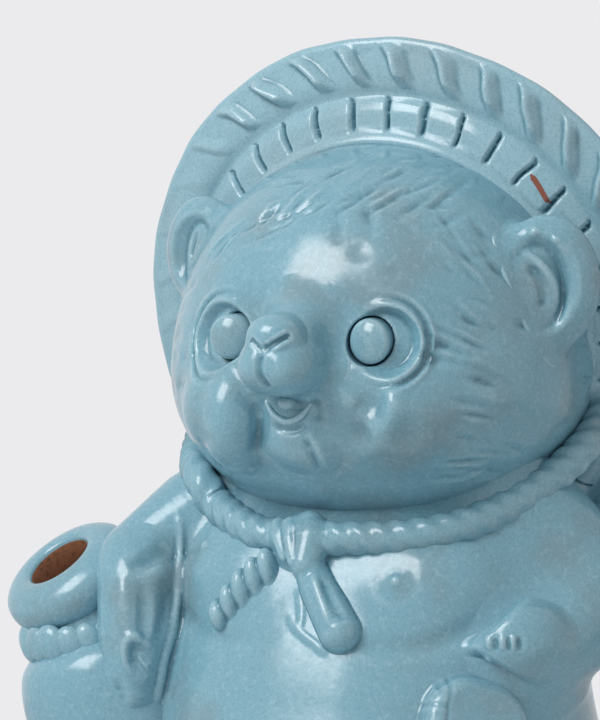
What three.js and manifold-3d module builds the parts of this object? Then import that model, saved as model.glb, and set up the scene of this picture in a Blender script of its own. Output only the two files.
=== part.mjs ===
// A standing tanuki figurine in glazed stoneware: a straw hat on the back of its head, a hat cord
// knotted under its chin, a flask in its right hand and an account book in its left.
// The potter presses or casts each piece in its own mould, then sticks the pieces together with slip.
// Millimetres. The figure faces -Y, its own left is +X, and it stands on z = 0.

import * as THREE from "three";
import { mergeVertices } from "three/addons/utils/BufferGeometryUtils.js";
import Module from "manifold-3d";

const wasm = await Module();
wasm.setup();

// Clay walls and joints
const WALL = 5; // torso and head
const FLASK_WALL = 3.5;
const SLIP_GAP = 0.3; // between two pieces that slip holds together

// Torso: oval at every level, each level given by its rise above the one before
const BASE_WIDTH = 92;
const BASE_DEPTH = 80;
const HIP_RISE = 20;
const HIP_WIDTH = 118;
const HIP_DEPTH = 101;
const BELLY_RISE = 30;
const BELLY_WIDTH = 124;
const BELLY_DEPTH = 110;
const BELLY_FORWARD = 6;
const WAIST_RISE = 30;
const WAIST_WIDTH = 114;
const WAIST_DEPTH = 94;
const CHEST_RISE = 30;
const CHEST_WIDTH = 107;
const CHEST_DEPTH = 74;
const CHEST_FORWARD = 4;
const SHOULDER_RISE = 20;
const SHOULDER_WIDTH = 92;
const SHOULDER_DEPTH = 55;
const NECK_RISE = 10;
const NECK_WIDTH = 70;
const NECK_DEPTH = 42;
const TOP_RISE = 3;
const BASE_THICKNESS = 6;
const VENT_RADIUS = 8; // lets steam out of the hollow body in the kiln
const VENT_BACK = 22;

// Head
const HEAD_RADII = [53.5, 50, 49];
const HEAD_SINK = 23; // how deep the head sits in the shoulders
const JOWL_RADII = [53.5, 50, 37];
const JOWL_FORWARD = 3;
const JOWL_DROP = 12;
const CHEEK_RADII = [14, 16.5, 13.5];
const CHEEK_SPREAD = 46;
const CHEEK_FORWARD = 36.5;
const CHEEK_DROP = 17.5;
const NECK_BORE = 16;

// Hat: a wide cone whose open side faces forward and a little down
const HAT_RADIUS = 75.4;
const HAT_DEPTH = 51;
const HAT_WALL = 4.5;
const HAT_TILT = 15.4; // degrees
const HAT_BACK = 8.6; // its front lies this far behind the middle of the head
const HAT_DROP = 1; // below the middle of the head
const BRIM_THICKNESS = 16.8;
const INNER_BAND_RADIUS = 52; // where the brim meets the head
const INNER_BAND_EDGE = 60.6;
const TROUGH_RADIUS = 62.4;
const OUTER_BAND_RADIUS = 68.5;
const INNER_BAND_FACE = 1.4; // how far each of these places lies behind the hat's front
const INNER_BAND_EDGE_FACE = 3.3;
const TROUGH_FACE = 5.9;
const OUTER_BAND_FACE = 6.6;
const RIM_FACE = 8.7;
const RIM_THICKNESS = 2.9;
const PLEATS = 40;
const PLEAT_DEPTH = 0.7;
const RIM_BULGE = 1.2;
const CROWN_BULGE = 2.2;

// Ears
const RIGHT_EAR_RADII = [12.5, 6, 14.4];
const LEFT_EAR_RADII = [13.6, 6.5, 17.2];
const RIGHT_EAR_DIRECTION = [-0.9, -0.17, 0.38]; // from the middle of the head
const LEFT_EAR_DIRECTION = [0.94, -0.19, 0.275];
const EAR_SCOOP = 5; // depth of the hollow of the ear
const EAR_RIM = 4;
const EAR_YAW = 18;

// Eyes: domed plugs in sockets that go through the face, each held by a collar behind the wall
const EYE_WIDTH = 10.4;
const EYE_HEIGHT = 11.6;
const EYE_SPACING = 40;
const EYE_RAISE = 1.2;
const EYE_YAW = 4;
const EYE_GAP = 0.6; // open ring round each eye
const EYE_PROUD = 2;
const EYE_COLLAR = 2.6; // how far the collar reaches past the eye all round
const EYE_COLLAR_DEPTH = 7;

// Muzzle, nose and mouth
const MUZZLE_RADII = [13.5, 19.5, 10];
const MUZZLE_DROP = 2.5;
const NOSE_RADII = [6.5, 6, 5];
const NOSE_RAISE = 6.8; // above the middle of the muzzle
const NOSE_PROUD = 0.4;
const LIP_RADIUS = 2.4;
const LIP_END_RADIUS = 1.5;
const LIP_REACH = 4; // the lip's middle stands this far off the face
const MOUTH_WIDTH = 12.6;
const MOUTH_DROP = 14;
const SMILE = 4.4; // the corners of the mouth lie this far above its middle
const CHIN_RADII = [9, 8, 6.5];
const CHIN_SINK = 3; // how far its middle lies inside the face
const CHIN_DROP = 4; // below the lip
const TONGUE_RADII = [2.6, 3.4, 2.1];
const TONGUE_REACH = 2.6;

// Hat cord, tied at the throat
const CORD_RADIUS = 4.4;
const CORD_RISE = 10; // of its front above the chest's level
const KNOT_RADII = [7.2, 5.8, 8.4];
const KNOT_ASIDE = 5.5; // to the figure's right
const TAIL_RADIUS = 4.7;
const TAIL_END_RADIUS = 3;
const SHORT_TAIL = 30;
const SHORT_TAIL_SWING = -47.5; // degrees from straight down, to the figure's left
const LONG_TAIL = 26;
const LONG_TAIL_SWING = 35;

// Arms and hands
const SHOULDER_HALF = 36;
const SHOULDER_JOINT_RISE = 18; // above the chest's level
const ARM_RADIUS = 14;
const RIGHT_FOREARM_RADIUS = 12;
const RIGHT_WRIST_RADIUS = 8.6;
const LEFT_WRIST_RADIUS = 9.8;
const RIGHT_REACH = 36; // from shoulder to wrist, outwards and forward
const RIGHT_HAND_LENGTH = 36;
const LEFT_UPPER_ARM = 35;
const LEFT_FOREARM = 23;
const LEFT_HAND_LENGTH = 16.5;
const RIGHT_HAND_RADIUS = 9.5;
const RIGHT_FINGERTIP_RADIUS = 6.5;
const LEFT_HAND_RADIUS = 11;
const LEFT_FINGERTIP_RADIUS = 3.4;

// Account book
const BOOK_WIDTH = 27;
const BOOK_HEIGHT = 40;
const BOOK_THICKNESS = 7;
const BOOK_CORNER = 2;
const BOOK_ROLL = -14;
const BOOK_AZIMUTH = 47; // round the belly from its front
const BOOK_DROP = 10; // its top edge lies this far below the fingertips

// Flask
const FLASK_OFFSET = [-5.7, 3.1, -42.8]; // its middle from the right wrist
const FLASK_RADIUS = 23.8;
const FLASK_FOOT_RADIUS = 13;
const FLASK_SHOULDER_RADIUS = 23.2;
const FLASK_NECK_RADIUS = 15.6;
const FLASK_THROAT_RADIUS = 12;
const FLASK_BELLY_RISE = 24;
const FLASK_SHOULDER_RISE = 22;
const FLASK_NECK_RISE = 13;
const FLASK_NECK_LENGTH = 10;
const FLASK_LEAN_OUT = 18;
const FLASK_LEAN_FORWARD = 8;
const MOUTH_RING_RADIUS = 18.2;
const MOUTH_RING_FOOT_RADIUS = 12;
const MOUTH_RING_LIP_RADIUS = 13;
const MOUTH_RING_HEIGHT = 13;
const MOUTH_RING_OFFSET = [1.2, 3.4, -1]; // its foot from the top of the neck
const MOUTH_RING_LEAN_OUT = 23.3;
const MOUTH_RING_LEAN_FORWARD = 34;
const MOUTH_BORE = 8.4;
const MOUTH_BORE_BOTTOM = 7.6;
const MOUTH_BORE_REACH = 9; // how far the bore goes on into the neck
const FLASK_CORD_RADIUS = 3.2;

// Feet and tail
const FOOT_RADII = [17, 22, 14];
const FOOT_AZIMUTH = 27; // round the hips from their front
const FOOT_Z = 9;
const TAIL_LENGTH = 40;
const BRUSH_RADIUS = 15; // the tail's widest place
const BRUSH_ROOT_RADIUS = 9;
const BRUSH_TIP_RADIUS = 10.5;
const TAIL_LEAN = 24;

// Facets
const BIG_SIDES = 26;
const BIG_RINGS = 14;
const HEAD_SIDES = 30;
const HEAD_RINGS = 18;
const SMALL_SIDES = 12;
const SMALL_RINGS = 8;
const ROUND_SIDES = 22;
const PROFILE_POINTS = 8;
const LIMB_CAP = 3;
const LIMB_STEPS = 4;
const TORSO_ROWS = 16;
const CORD_SIDES = 8;
const CORD_STEPS = 24;
const BOOK_CORNER_STEPS = 3;
const CROWN_SHARES = [0, 0.25, 0.5, 0.75, 1]; // of the way from the crown's foot to its point
const MERGE = 1e-4;
const SLIVER = 0.01; // facets thinner than this are left out after a cut
const BISECTIONS = 40;
const FAR = 1000; // larger than the figure, for cutting by planes

// Finishes
const GLAZE = { color: 0x86b3c2, roughness: 0.32, metalness: 0 };
const EYE_GLAZE = { color: 0x8bb9c8, roughness: 0.22, metalness: 0 };
const BARE_CLAY = { color: 0x8a5a40, roughness: 0.85, metalness: 0 };

const radians = THREE.MathUtils.degToRad;
const degrees = THREE.MathUtils.radToDeg;
const point = (xyz) => new THREE.Vector3(...xyz);
const along = (start, direction, length) =>
  start.clone().addScaledVector(point(direction).normalize(), length);
const RIGHT = -1;
const LEFT = 1;
const SIDES = [
  [RIGHT, "right"],
  [LEFT, "left"],
];

// Levels and places
const bellyZ = HIP_RISE + BELLY_RISE;
const waistZ = bellyZ + WAIST_RISE;
const chestZ = waistZ + CHEST_RISE;
const shoulderZ = chestZ + SHOULDER_RISE;
const neckZ = shoulderZ + NECK_RISE;
const torsoTop = neckZ + TOP_RISE;
const headZ = torsoTop - HEAD_SINK + HEAD_RADII[2];
const headCentre = [0, 0, headZ];
const shoulder = (side) =>
  new THREE.Vector3(side * SHOULDER_HALF, -CHEST_FORWARD, chestZ + SHOULDER_JOINT_RISE);
const rightWrist = along(shoulder(RIGHT), [-22, -24, -16], RIGHT_REACH);
const leftElbow = along(shoulder(LEFT), [24, 2, -26], LEFT_UPPER_ARM);
const leftWrist = along(leftElbow, [-7, -19, -11], LEFT_FOREARM);
const leftTip = along(leftWrist, [-9.6, -13.5, 2.2], LEFT_HAND_LENGTH);
const flaskFoot = -FLASK_BELLY_RISE - FLASK_SHOULDER_RISE / 2;
const flaskShoulder = FLASK_SHOULDER_RISE / 2;
const flaskNeck = flaskShoulder + FLASK_NECK_RISE;
const flaskTop = flaskNeck + FLASK_NECK_LENGTH;

// Groups: each carries the pieces that are shaped in its own frame
const figure = new THREE.Group();
const head = addGroup(headCentre);
const hat = addGroup([0, HAT_BACK, headZ - HAT_DROP]);
hat.rotation.x = radians(HAT_TILT);
const flask = addGroup(rightWrist.clone().add(point(FLASK_OFFSET)).toArray());
lean(flask, FLASK_LEAN_OUT, FLASK_LEAN_FORWARD);
figure.updateMatrixWorld(true);
const neckTop = flask.localToWorld(new THREE.Vector3(0, flaskTop, 0));
const mouthRing = addGroup(neckTop.add(point(MOUTH_RING_OFFSET)).toArray());
lean(mouthRing, MOUTH_RING_LEAN_OUT, MOUTH_RING_LEAN_FORWARD);
const book = addGroup([0, 0, 0]);
figure.updateMatrixWorld(true);

function addGroup(position, parent = figure) {
  const group = new THREE.Group();
  group.position.set(...position);
  parent.add(group);
  return group;
}

/** Points a group's Y axis up, leaning by degrees to the figure's right and forward. */
function lean(group, out, forward) {
  const axis = new THREE.Vector3(-Math.tan(radians(out)), -Math.tan(radians(forward)), 1).normalize();
  group.quaternion.setFromUnitVectors(new THREE.Vector3(0, 1, 0), axis);
}

// Solids

/** The closed solid of a geometry that is shaped in a group's frame, in the figure's frame. */
function solidOf(geometry, group = figure) {
  const bare = geometry.clone().applyMatrix4(group.matrixWorld);
  bare.deleteAttribute("normal");
  bare.deleteAttribute("uv");
  const merged = mergeVertices(bare, MERGE);
  const corners = merged.index.array;
  const triangles = [];
  for (let i = 0; i < corners.length; i += 3) {
    const [a, b, c] = [corners[i], corners[i + 1], corners[i + 2]];
    if (a !== b && b !== c && c !== a) triangles.push(a, b, c);
  }
  return new wasm.Manifold(
    new wasm.Mesh({
      numProp: 3,
      vertProperties: merged.attributes.position.array,
      triVerts: new Uint32Array(triangles),
    }),
  );
}

/** Names a solid as a piece of the figure, in its group's frame. Crumbs left by a cut are dropped. */
function addPiece(name, solid, group = figure, finish = GLAZE) {
  const [body] = solid.decompose().sort((a, b) => b.volume() - a.volume());
  const mesh = body.simplify(SLIVER).getMesh();
  const geometry = new THREE.BufferGeometry();
  geometry.setAttribute("position", new THREE.BufferAttribute(mesh.vertProperties, 3));
  geometry.setIndex(new THREE.BufferAttribute(mesh.triVerts, 1));
  geometry.applyMatrix4(group.matrixWorld.clone().invert());
  geometry.computeVertexNormals();
  const piece = new THREE.Mesh(geometry, new THREE.MeshStandardMaterial(finish));
  piece.name = name;
  group.add(piece);
}

/** Cuts a solid back from each form it is stuck to, leaving room for the slip. */
function cutBy(solid, ...forms) {
  return forms.reduce((left, form) => left.subtract(form(SLIP_GAP)), solid);
}

/** All that lies under a level on one axis of a group. */
function below(axis, level, group = figure) {
  const centre = [0, 0, 0];
  centre["xyz".indexOf(axis)] = level - FAR / 2;
  return solidOf(new THREE.BoxGeometry(FAR, FAR, FAR).translate(...centre), group);
}

/** An egg-shaped form; `grow` moves its surface out. */
function egg(centre, radii, grow = 0, { sides = BIG_SIDES, rings = BIG_RINGS, yaw = 0 } = {}) {
  const sphere = new THREE.SphereGeometry(1, sides, rings).rotateX(Math.PI / 2);
  sphere.scale(...radii.map((radius) => radius + grow));
  return solidOf(sphere.rotateZ(radians(yaw)).translate(...centre));
}

const SMALL = { sides: SMALL_SIDES, rings: SMALL_RINGS };

/** A limb: a capsule bent along a curve, with its radius given at evenly spaced places on the curve. */
function limb(points, radii, grow = 0) {
  const curve = new THREE.CatmullRomCurve3(points);
  const last = radii.length - 1;
  const capsule = new THREE.CapsuleGeometry(1, 1, LIMB_CAP, SMALL_SIDES, LIMB_STEPS);
  const place = capsule.attributes.position;
  const reference = new THREE.Vector3(0.31, 0.83, 0.47).normalize();
  for (let i = 0; i < place.count; i++) {
    const height = place.getY(i) + 0.5;
    const share = THREE.MathUtils.clamp(height, 0, 1);
    const step = Math.min(Math.floor(share * last), last - 1);
    const radius = THREE.MathUtils.lerp(radii[step], radii[step + 1], share * last - step) + grow;
    const tangent = curve.getTangent(share);
    const across = new THREE.Vector3().crossVectors(reference, tangent).normalize();
    const over = new THREE.Vector3().crossVectors(across, tangent);
    const at = curve.getPoint(share).addScaledVector(tangent, (height - share) * radius);
    at.addScaledVector(across, place.getX(i) * radius).addScaledVector(over, place.getZ(i) * radius);
    place.setXYZ(i, at.x, at.y, at.z);
  }
  return solidOf(capsule);
}

/** A geometry turned about the Y axis from an outline of [radius, height] corners. */
function lathe(outline, sides = ROUND_SIDES) {
  const corners = outline.map(([radius, height]) => new THREE.Vector2(radius, height));
  return new THREE.LatheGeometry(corners, sides);
}

// Torso

const LEVELS = [
  // height, half width, half depth, forward
  [-BASE_THICKNESS, BASE_WIDTH / 2 - BASE_THICKNESS, BASE_DEPTH / 2 - BASE_THICKNESS, 0],
  [0, BASE_WIDTH / 2, BASE_DEPTH / 2, 0],
  [HIP_RISE, HIP_WIDTH / 2, HIP_DEPTH / 2, BELLY_FORWARD / 3],
  [bellyZ, BELLY_WIDTH / 2, BELLY_DEPTH / 2, BELLY_FORWARD],
  [waistZ, WAIST_WIDTH / 2, WAIST_DEPTH / 2, BELLY_FORWARD],
  [chestZ, CHEST_WIDTH / 2, CHEST_DEPTH / 2, CHEST_FORWARD],
  [shoulderZ, SHOULDER_WIDTH / 2, SHOULDER_DEPTH / 2, CHEST_FORWARD / 2],
  [neckZ, NECK_WIDTH / 2, NECK_DEPTH / 2, 0],
  [torsoTop, 0, 0, 0],
];
const [widths, depths, forwards] = [1, 2, 3].map((column) => {
  const places = LEVELS.map((level) => new THREE.Vector3(level[column], 0, level[0]));
  return new THREE.CatmullRomCurve3(places, false, "catmullrom");
});

/** The torso's oval at a share of the way through its levels: height, half width, half depth, forward. */
function ovalAt(share) {
  const wide = widths.getPoint(share);
  return [wide.z, Math.max(wide.x, 0), Math.max(depths.getPoint(share).x, 0), forwards.getPoint(share).x];
}

/** The torso's surface at a height, turned by `azimuth` degrees from the front to the figure's left. */
function torsoPoint(height, azimuth) {
  let [low, high] = [0, 1];
  for (let i = 0; i < BISECTIONS; i++) {
    const middle = (low + high) / 2;
    if (widths.getPoint(middle).z < height) low = middle;
    else high = middle;
  }
  const [z, wide, deep, forward] = ovalAt(low);
  const turn = radians(azimuth);
  return new THREE.Vector3(wide * Math.sin(turn), -forward - deep * Math.cos(turn), z);
}

function torsoForm(grow = 0) {
  const ovals = Array.from({ length: TORSO_ROWS + 1 }, (_, i) => ovalAt(i / TORSO_ROWS));
  const outline = [[0, 0], ...ovals.map((_, i) => [1, i]), [0, TORSO_ROWS]];
  const form = lathe(outline, BIG_SIDES);
  const place = form.attributes.position;
  for (let i = 0; i < place.count; i++) {
    const row = THREE.MathUtils.clamp((i % outline.length) - 1, 0, TORSO_ROWS);
    const [z, wide, deep, forward] = ovals[row];
    const up = row === TORSO_ROWS ? grow : 0;
    const swell = row === TORSO_ROWS ? 0 : 1;
    const [x, y] = [place.getX(i) * swell, -place.getZ(i) * swell];
    place.setXYZ(i, x * (wide + grow), y * (deep + grow) - forward, z + up);
  }
  return solidOf(form);
}

const ground = below("z", 0);

function addTorso() {
  const outside = torsoForm().subtract(ground);
  const shell = outside.subtract(torsoForm(-WALL)).subtract(below("z", BASE_THICKNESS + SLIP_GAP));
  const wall = cutBy(shell, headForm, hatForm);
  addPiece("torso_front_shell", wall.intersect(below("y", -SLIP_GAP / 2)));
  addPiece("torso_back_shell", wall.subtract(below("y", SLIP_GAP / 2)));
  const vent = new THREE.CylinderGeometry(VENT_RADIUS, VENT_RADIUS, FAR, SMALL_SIDES);
  vent.rotateX(Math.PI / 2).translate(0, VENT_BACK, 0);
  const slab = outside.intersect(below("z", BASE_THICKNESS)).subtract(solidOf(vent));
  addPiece("base_slab", slab, figure, BARE_CLAY);
}

// Head

// A round skull, with jowls and cheeks that hang lower and further forward: each is an egg, given
// by where its middle lies from the middle of the head, and its radii
const HEAD_EGGS = [
  [[0, 0, 0], HEAD_RADII],
  [[0, -JOWL_FORWARD, -JOWL_DROP], JOWL_RADII],
  [[CHEEK_SPREAD / -2, -CHEEK_FORWARD, -CHEEK_DROP], CHEEK_RADII],
  [[CHEEK_SPREAD / 2, -CHEEK_FORWARD, -CHEEK_DROP], CHEEK_RADII],
];

/** How far an egg, grown by `grow`, reaches from the middle of the head; 0 in a direction that misses it. */
function eggReach(direction, [place, radii], grow) {
  const scaled = (xyz) => point(xyz.map((part, i) => part / (radii[i] + grow)));
  const [ray, offset] = [scaled(direction), scaled(place)];
  const nearest = ray.dot(offset);
  const rest = nearest ** 2 - ray.lengthSq() * (offset.lengthSq() - 1);
  return rest > 0 ? (nearest + Math.sqrt(rest)) / ray.lengthSq() : 0;
}

/** The outside of the head, its surface moved out by `grow`. */
function headForm(grow = 0) {
  const sphere = new THREE.SphereGeometry(1, HEAD_SIDES, HEAD_RINGS).rotateX(Math.PI / 2);
  const place = sphere.attributes.position;
  for (let i = 0; i < place.count; i++) {
    const direction = [place.getX(i), place.getY(i), place.getZ(i)];
    const reach = Math.max(...HEAD_EGGS.map((form) => eggReach(direction, form, grow)));
    place.setXYZ(i, ...direction.map((part) => part * reach));
  }
  return solidOf(sphere, head);
}

/** The front of the face at a place across and up from the middle of the head. */
function facePoint(across, up) {
  const reaches = HEAD_EGGS.map(([place, radii]) => {
    const rest = 1 - ((across - place[0]) / radii[0]) ** 2 - ((up - place[2]) / radii[2]) ** 2;
    return rest > 0 ? radii[1] * Math.sqrt(rest) - place[1] : 0;
  });
  return new THREE.Vector3(across, -Math.max(...reaches), headZ + up);
}

/** The head is a shell that is open to the neck, and behind the brim, where the hat closes it. */
function addHead() {
  const bore = new THREE.CylinderGeometry(NECK_BORE, NECK_BORE, HEAD_RADII[2], SMALL_SIDES);
  bore.rotateX(Math.PI / 2).translate(0, 0, -HEAD_RADII[2]);
  const shell = headForm().subtract(headForm(-WALL)).subtract(solidOf(bore, head));
  addPiece("head_shell", cutByEyes(shell.intersect(below("y", BRIM_THICKNESS, hat))), head);
}

const eyeDepth = WALL + EYE_COLLAR_DEPTH;

/** A shape turned about an eye's axis, then made oval; its outline's radius of 1 is the eye's edge. */
function eyeTurned(side, outline, margin = 0) {
  const seat = facePoint((side * EYE_SPACING) / 2, EYE_RAISE);
  const form = lathe(outline, SMALL_SIDES).rotateZ(Math.PI);
  form.scale(EYE_WIDTH / 2 + margin, 1, EYE_HEIGHT / 2 + margin).rotateZ(radians(side * EYE_YAW));
  return solidOf(form.translate(seat.x, seat.y, seat.z));
}

/** An eye's oval plug from its domed front to inside the head. */
function eyePlug(side) {
  return eyeTurned(side, [
    [0, -eyeDepth],
    [1, -eyeDepth],
    [1, -EYE_PROUD],
    [0.82, EYE_PROUD * 0.45],
    [0.45, EYE_PROUD * 0.86],
    [0, EYE_PROUD],
  ]);
}

/** A straight oval bar about an eye's axis, wider than the eye by `margin`. */
function eyeBar(side, margin, front) {
  return eyeTurned(side, [[0, -eyeDepth], [1, -eyeDepth], [1, front], [0, front]], margin);
}

/** Cuts both eye sockets through a solid. */
function cutByEyes(solid) {
  return SIDES.reduce((left, [side]) => left.subtract(eyeBar(side, EYE_GAP, eyeDepth)), solid);
}

function addEyes() {
  const inside = headForm(-WALL - SLIP_GAP);
  for (const [side, word] of SIDES) {
    const collar = eyeBar(side, EYE_COLLAR, 0).intersect(inside);
    addPiece(`${word}_eye`, eyePlug(side).add(collar), head, EYE_GLAZE);
  }
}

const muzzleCentre = facePoint(0, -MUZZLE_DROP).toArray();
const muzzleForm = (grow = 0) => egg(muzzleCentre, MUZZLE_RADII, grow, SMALL);

/** The nose sits on the upper front of the muzzle. */
function noseForm(grow = 0) {
  const fall = Math.sqrt(1 - (NOSE_RAISE / MUZZLE_RADII[2]) ** 2);
  const forward = muzzleCentre[1] - MUZZLE_RADII[1] * fall - NOSE_PROUD;
  return egg([0, forward, muzzleCentre[2] + NOSE_RAISE], NOSE_RADII, grow, SMALL);
}

/** The lower jaw: a chin on the face and a smiling lip that stands out from it. */
function jawForm(grow = 0) {
  const corner = facePoint(MOUTH_WIDTH / 2, -MOUTH_DROP);
  const middle = facePoint(0, -MOUTH_DROP - SMILE);
  const points = [
    new THREE.Vector3(-corner.x, corner.y - LIP_RADIUS, corner.z),
    new THREE.Vector3(0, middle.y - LIP_REACH, middle.z),
    new THREE.Vector3(corner.x, corner.y - LIP_RADIUS, corner.z),
  ];
  const lip = limb(points, [LIP_END_RADIUS, LIP_RADIUS, LIP_END_RADIUS], grow);
  const chin = [0, middle.y + CHIN_SINK, middle.z - CHIN_DROP];
  return lip.add(egg(chin, CHIN_RADII, grow, SMALL));
}

function addFace() {
  addPiece("muzzle", cutByEyes(cutBy(muzzleForm(), headForm)), head);
  addPiece("nose_button", cutBy(noseForm(), muzzleForm, headForm), head);
  addPiece("lower_jaw", cutBy(jawForm(), headForm, muzzleForm), head);
  const gum = facePoint(0, -MOUTH_DROP);
  const tongue = egg([0, gum.y - TONGUE_REACH, gum.z], TONGUE_RADII, 0, SMALL);
  addPiece("tongue", cutBy(tongue, headForm, muzzleForm, jawForm), head);
}

function addEar(name, earRadii, direction, yaw) {
  const reach = Math.hypot(...direction.map((part, i) => part / HEAD_RADII[i]));
  const centre = point(headCentre).addScaledVector(point(direction), 1 / reach);
  const ear = egg(centre.toArray(), earRadii, 0, { ...SMALL, yaw });
  const facing = [Math.sin(radians(yaw)), -Math.cos(radians(yaw)), 0];
  const scoopRadii = [earRadii[0] - EAR_RIM, EAR_SCOOP, earRadii[2] - EAR_RIM];
  const scoop = egg(along(centre, facing, earRadii[1]).toArray(), scoopRadii, 0, { ...SMALL, yaw });
  addPiece(name, cutBy(ear.subtract(scoop), headForm, hatForm), head);
}

function addEars() {
  addEar("right_ear", RIGHT_EAR_RADII, RIGHT_EAR_DIRECTION, RIGHT * EAR_YAW);
  addEar("left_ear", LEFT_EAR_RADII, LEFT_EAR_DIRECTION, LEFT * EAR_YAW);
}

// Hat

const rimBack = RIM_FACE + RIM_THICKNESS;
const coneSlope = (HAT_DEPTH - rimBack) / HAT_RADIUS;
const coneRadius = (height) => HAT_RADIUS - (height - rimBack) / coneSlope;

/** The hat's whole outside, filled in, as its neighbours meet it. */
function hatForm(grow = 0) {
  const edge = HAT_RADIUS + RIM_BULGE + grow;
  const outline = [
    [0, INNER_BAND_FACE - grow],
    [INNER_BAND_RADIUS, INNER_BAND_FACE - grow],
    [INNER_BAND_EDGE + grow, INNER_BAND_EDGE_FACE - grow],
    [edge, RIM_FACE - grow],
    [edge, rimBack + grow],
    [0, HAT_DEPTH + CROWN_BULGE + grow],
  ];
  return solidOf(lathe(outline), hat);
}

/** The brim: two bands of pleated straw round the head, the inner one standing in front of a step. */
function brimForm() {
  const inner = HEAD_RADII[0] / 2; // lies inside the head, which cuts it
  const back = [[coneRadius(BRIM_THICKNESS), BRIM_THICKNESS], [inner, BRIM_THICKNESS]];
  const pleated = [
    [INNER_BAND_EDGE, INNER_BAND_EDGE_FACE],
    [TROUGH_RADIUS, TROUGH_FACE],
    [OUTER_BAND_RADIUS, OUTER_BAND_FACE],
    [HAT_RADIUS, RIM_FACE],
    [HAT_RADIUS + RIM_BULGE, RIM_FACE + RIM_THICKNESS / 2],
  ];
  const start = [inner, INNER_BAND_FACE];
  const smooth = [start, [INNER_BAND_RADIUS, INNER_BAND_FACE]];
  const outline = [...smooth, ...pleated, [HAT_RADIUS, rimBack], ...back, start];
  const form = lathe(outline, 2 * PLEATS);
  const place = form.attributes.position;
  for (let i = 0; i < place.count; i++) {
    const corner = (i % outline.length) - smooth.length;
    const folded = corner >= 0 && corner < pleated.length && Math.floor(i / outline.length) % 2;
    if (folded) place.setY(i, place.getY(i) + PLEAT_DEPTH);
  }
  return solidOf(form, hat);
}

/** The cone behind the brim: a shell whose sides swell a little between its foot and its point. */
function addCrown() {
  const foot = BRIM_THICKNESS + SLIP_GAP;
  const lift = HAT_WALL * Math.hypot(1, coneSlope);
  const outside = CROWN_SHARES.map((share) => {
    const height = THREE.MathUtils.lerp(foot, HAT_DEPTH, share);
    return [coneRadius(foot) * (1 - share), height + CROWN_BULGE * Math.sin(Math.PI * share)];
  });
  const outline = [[0, HAT_DEPTH - lift], [coneRadius(foot + lift), foot], ...outside];
  addPiece("hat_crown", cutBy(solidOf(lathe(outline, 2 * PLEATS), hat), headForm), hat);
}

function addHat() {
  addPiece("hat_brim", cutBy(brimForm(), headForm), hat);
  addCrown();
}

// Hat cord

const cordFront = torsoPoint(chestZ + CORD_RISE, 0);
const knotCentre = [-KNOT_ASIDE, cordFront.y - CORD_RADIUS, cordFront.z - CORD_RADIUS / 2];

/** The cord runs from under the brim, along the jaw to the throat, and back up the other side. */
function cordForm(grow = 0) {
  const [wide, deep, high] = HEAD_RADII;
  const half = [
    new THREE.Vector3(wide * 0.5, cordFront.y * 0.78, cordFront.z + high * 0.07),
    new THREE.Vector3(wide * 0.86, deep * -0.25, headZ - high * 0.78),
    new THREE.Vector3(wide, deep * 0.1, headZ - high * 0.56),
    hat.localToWorld(new THREE.Vector3(wide * 0.93, INNER_BAND_FACE, high * -0.47)),
  ];
  const mirrored = half.map((place) => new THREE.Vector3(-place.x, place.y, place.z)).reverse();
  const front = new THREE.Vector3(0, cordFront.y - CORD_RADIUS / 3, cordFront.z);
  const extrudePath = new THREE.CatmullRomCurve3([...mirrored, front, ...half]);
  const section = new THREE.Shape().absarc(0, 0, CORD_RADIUS + grow, 0, 2 * Math.PI);
  const options = { steps: CORD_STEPS, curveSegments: CORD_SIDES, extrudePath, bevelEnabled: false };
  return solidOf(new THREE.ExtrudeGeometry(section, options));
}

const knotForm = (grow = 0) => egg(knotCentre, KNOT_RADII, grow, SMALL);

/** A tail of the cord, lying on the chest from the knot down, to one side. */
function cordTail(length, swing) {
  const places = [0.2, 0.6, 1].map((share) => {
    const across = knotCentre[0] + Math.sin(radians(swing)) * length * share;
    const height = knotCentre[2] - Math.cos(radians(swing)) * length * share;
    const azimuth = degrees(Math.asin(across / (CHEST_WIDTH / 2)));
    return torsoPoint(height, azimuth).add(new THREE.Vector3(0, -TAIL_RADIUS / 4, 0));
  });
  return limb(places, [TAIL_END_RADIUS, TAIL_RADIUS, TAIL_END_RADIUS]);
}

function addCord() {
  addPiece("hat_cord", cutBy(cordForm(), headForm, torsoForm, hatForm));
  addPiece("cord_knot", cutBy(knotForm(), cordForm, torsoForm, headForm));
  const rest = [knotForm, cordForm, torsoForm];
  addPiece("cord_short_tail", cutBy(cordTail(SHORT_TAIL, SHORT_TAIL_SWING), ...rest));
  addPiece("cord_long_tail", cutBy(cordTail(LONG_TAIL, LONG_TAIL_SWING), ...rest));
}

// Arms, hands and what they hold

function rightArmForm(grow = 0) {
  const radii = [ARM_RADIUS, RIGHT_FOREARM_RADIUS, RIGHT_WRIST_RADIUS];
  return limb([shoulder(RIGHT), rightWrist], radii, grow);
}

function rightHandForm(grow = 0) {
  const middle = along(rightWrist, [0.3, -0.6, -1], RIGHT_HAND_LENGTH / 2);
  const tip = along(rightWrist, [0.2, -0.33, -1], RIGHT_HAND_LENGTH);
  const radii = [RIGHT_HAND_RADIUS, RIGHT_HAND_RADIUS, RIGHT_FINGERTIP_RADIUS];
  return limb([rightWrist, middle, tip], radii, grow);
}

/** The left arm is bent, so it is an upper arm and a forearm that meet in a round elbow. */
function leftArmForm(grow = 0) {
  const upper = limb([shoulder(LEFT), leftElbow], [ARM_RADIUS, ARM_RADIUS], grow);
  return upper.add(limb([leftElbow, leftWrist], [ARM_RADIUS, LEFT_WRIST_RADIUS], grow));
}

function leftHandForm(grow = 0) {
  return limb([leftWrist, leftTip], [LEFT_HAND_RADIUS, LEFT_FINGERTIP_RADIUS], grow);
}

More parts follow.
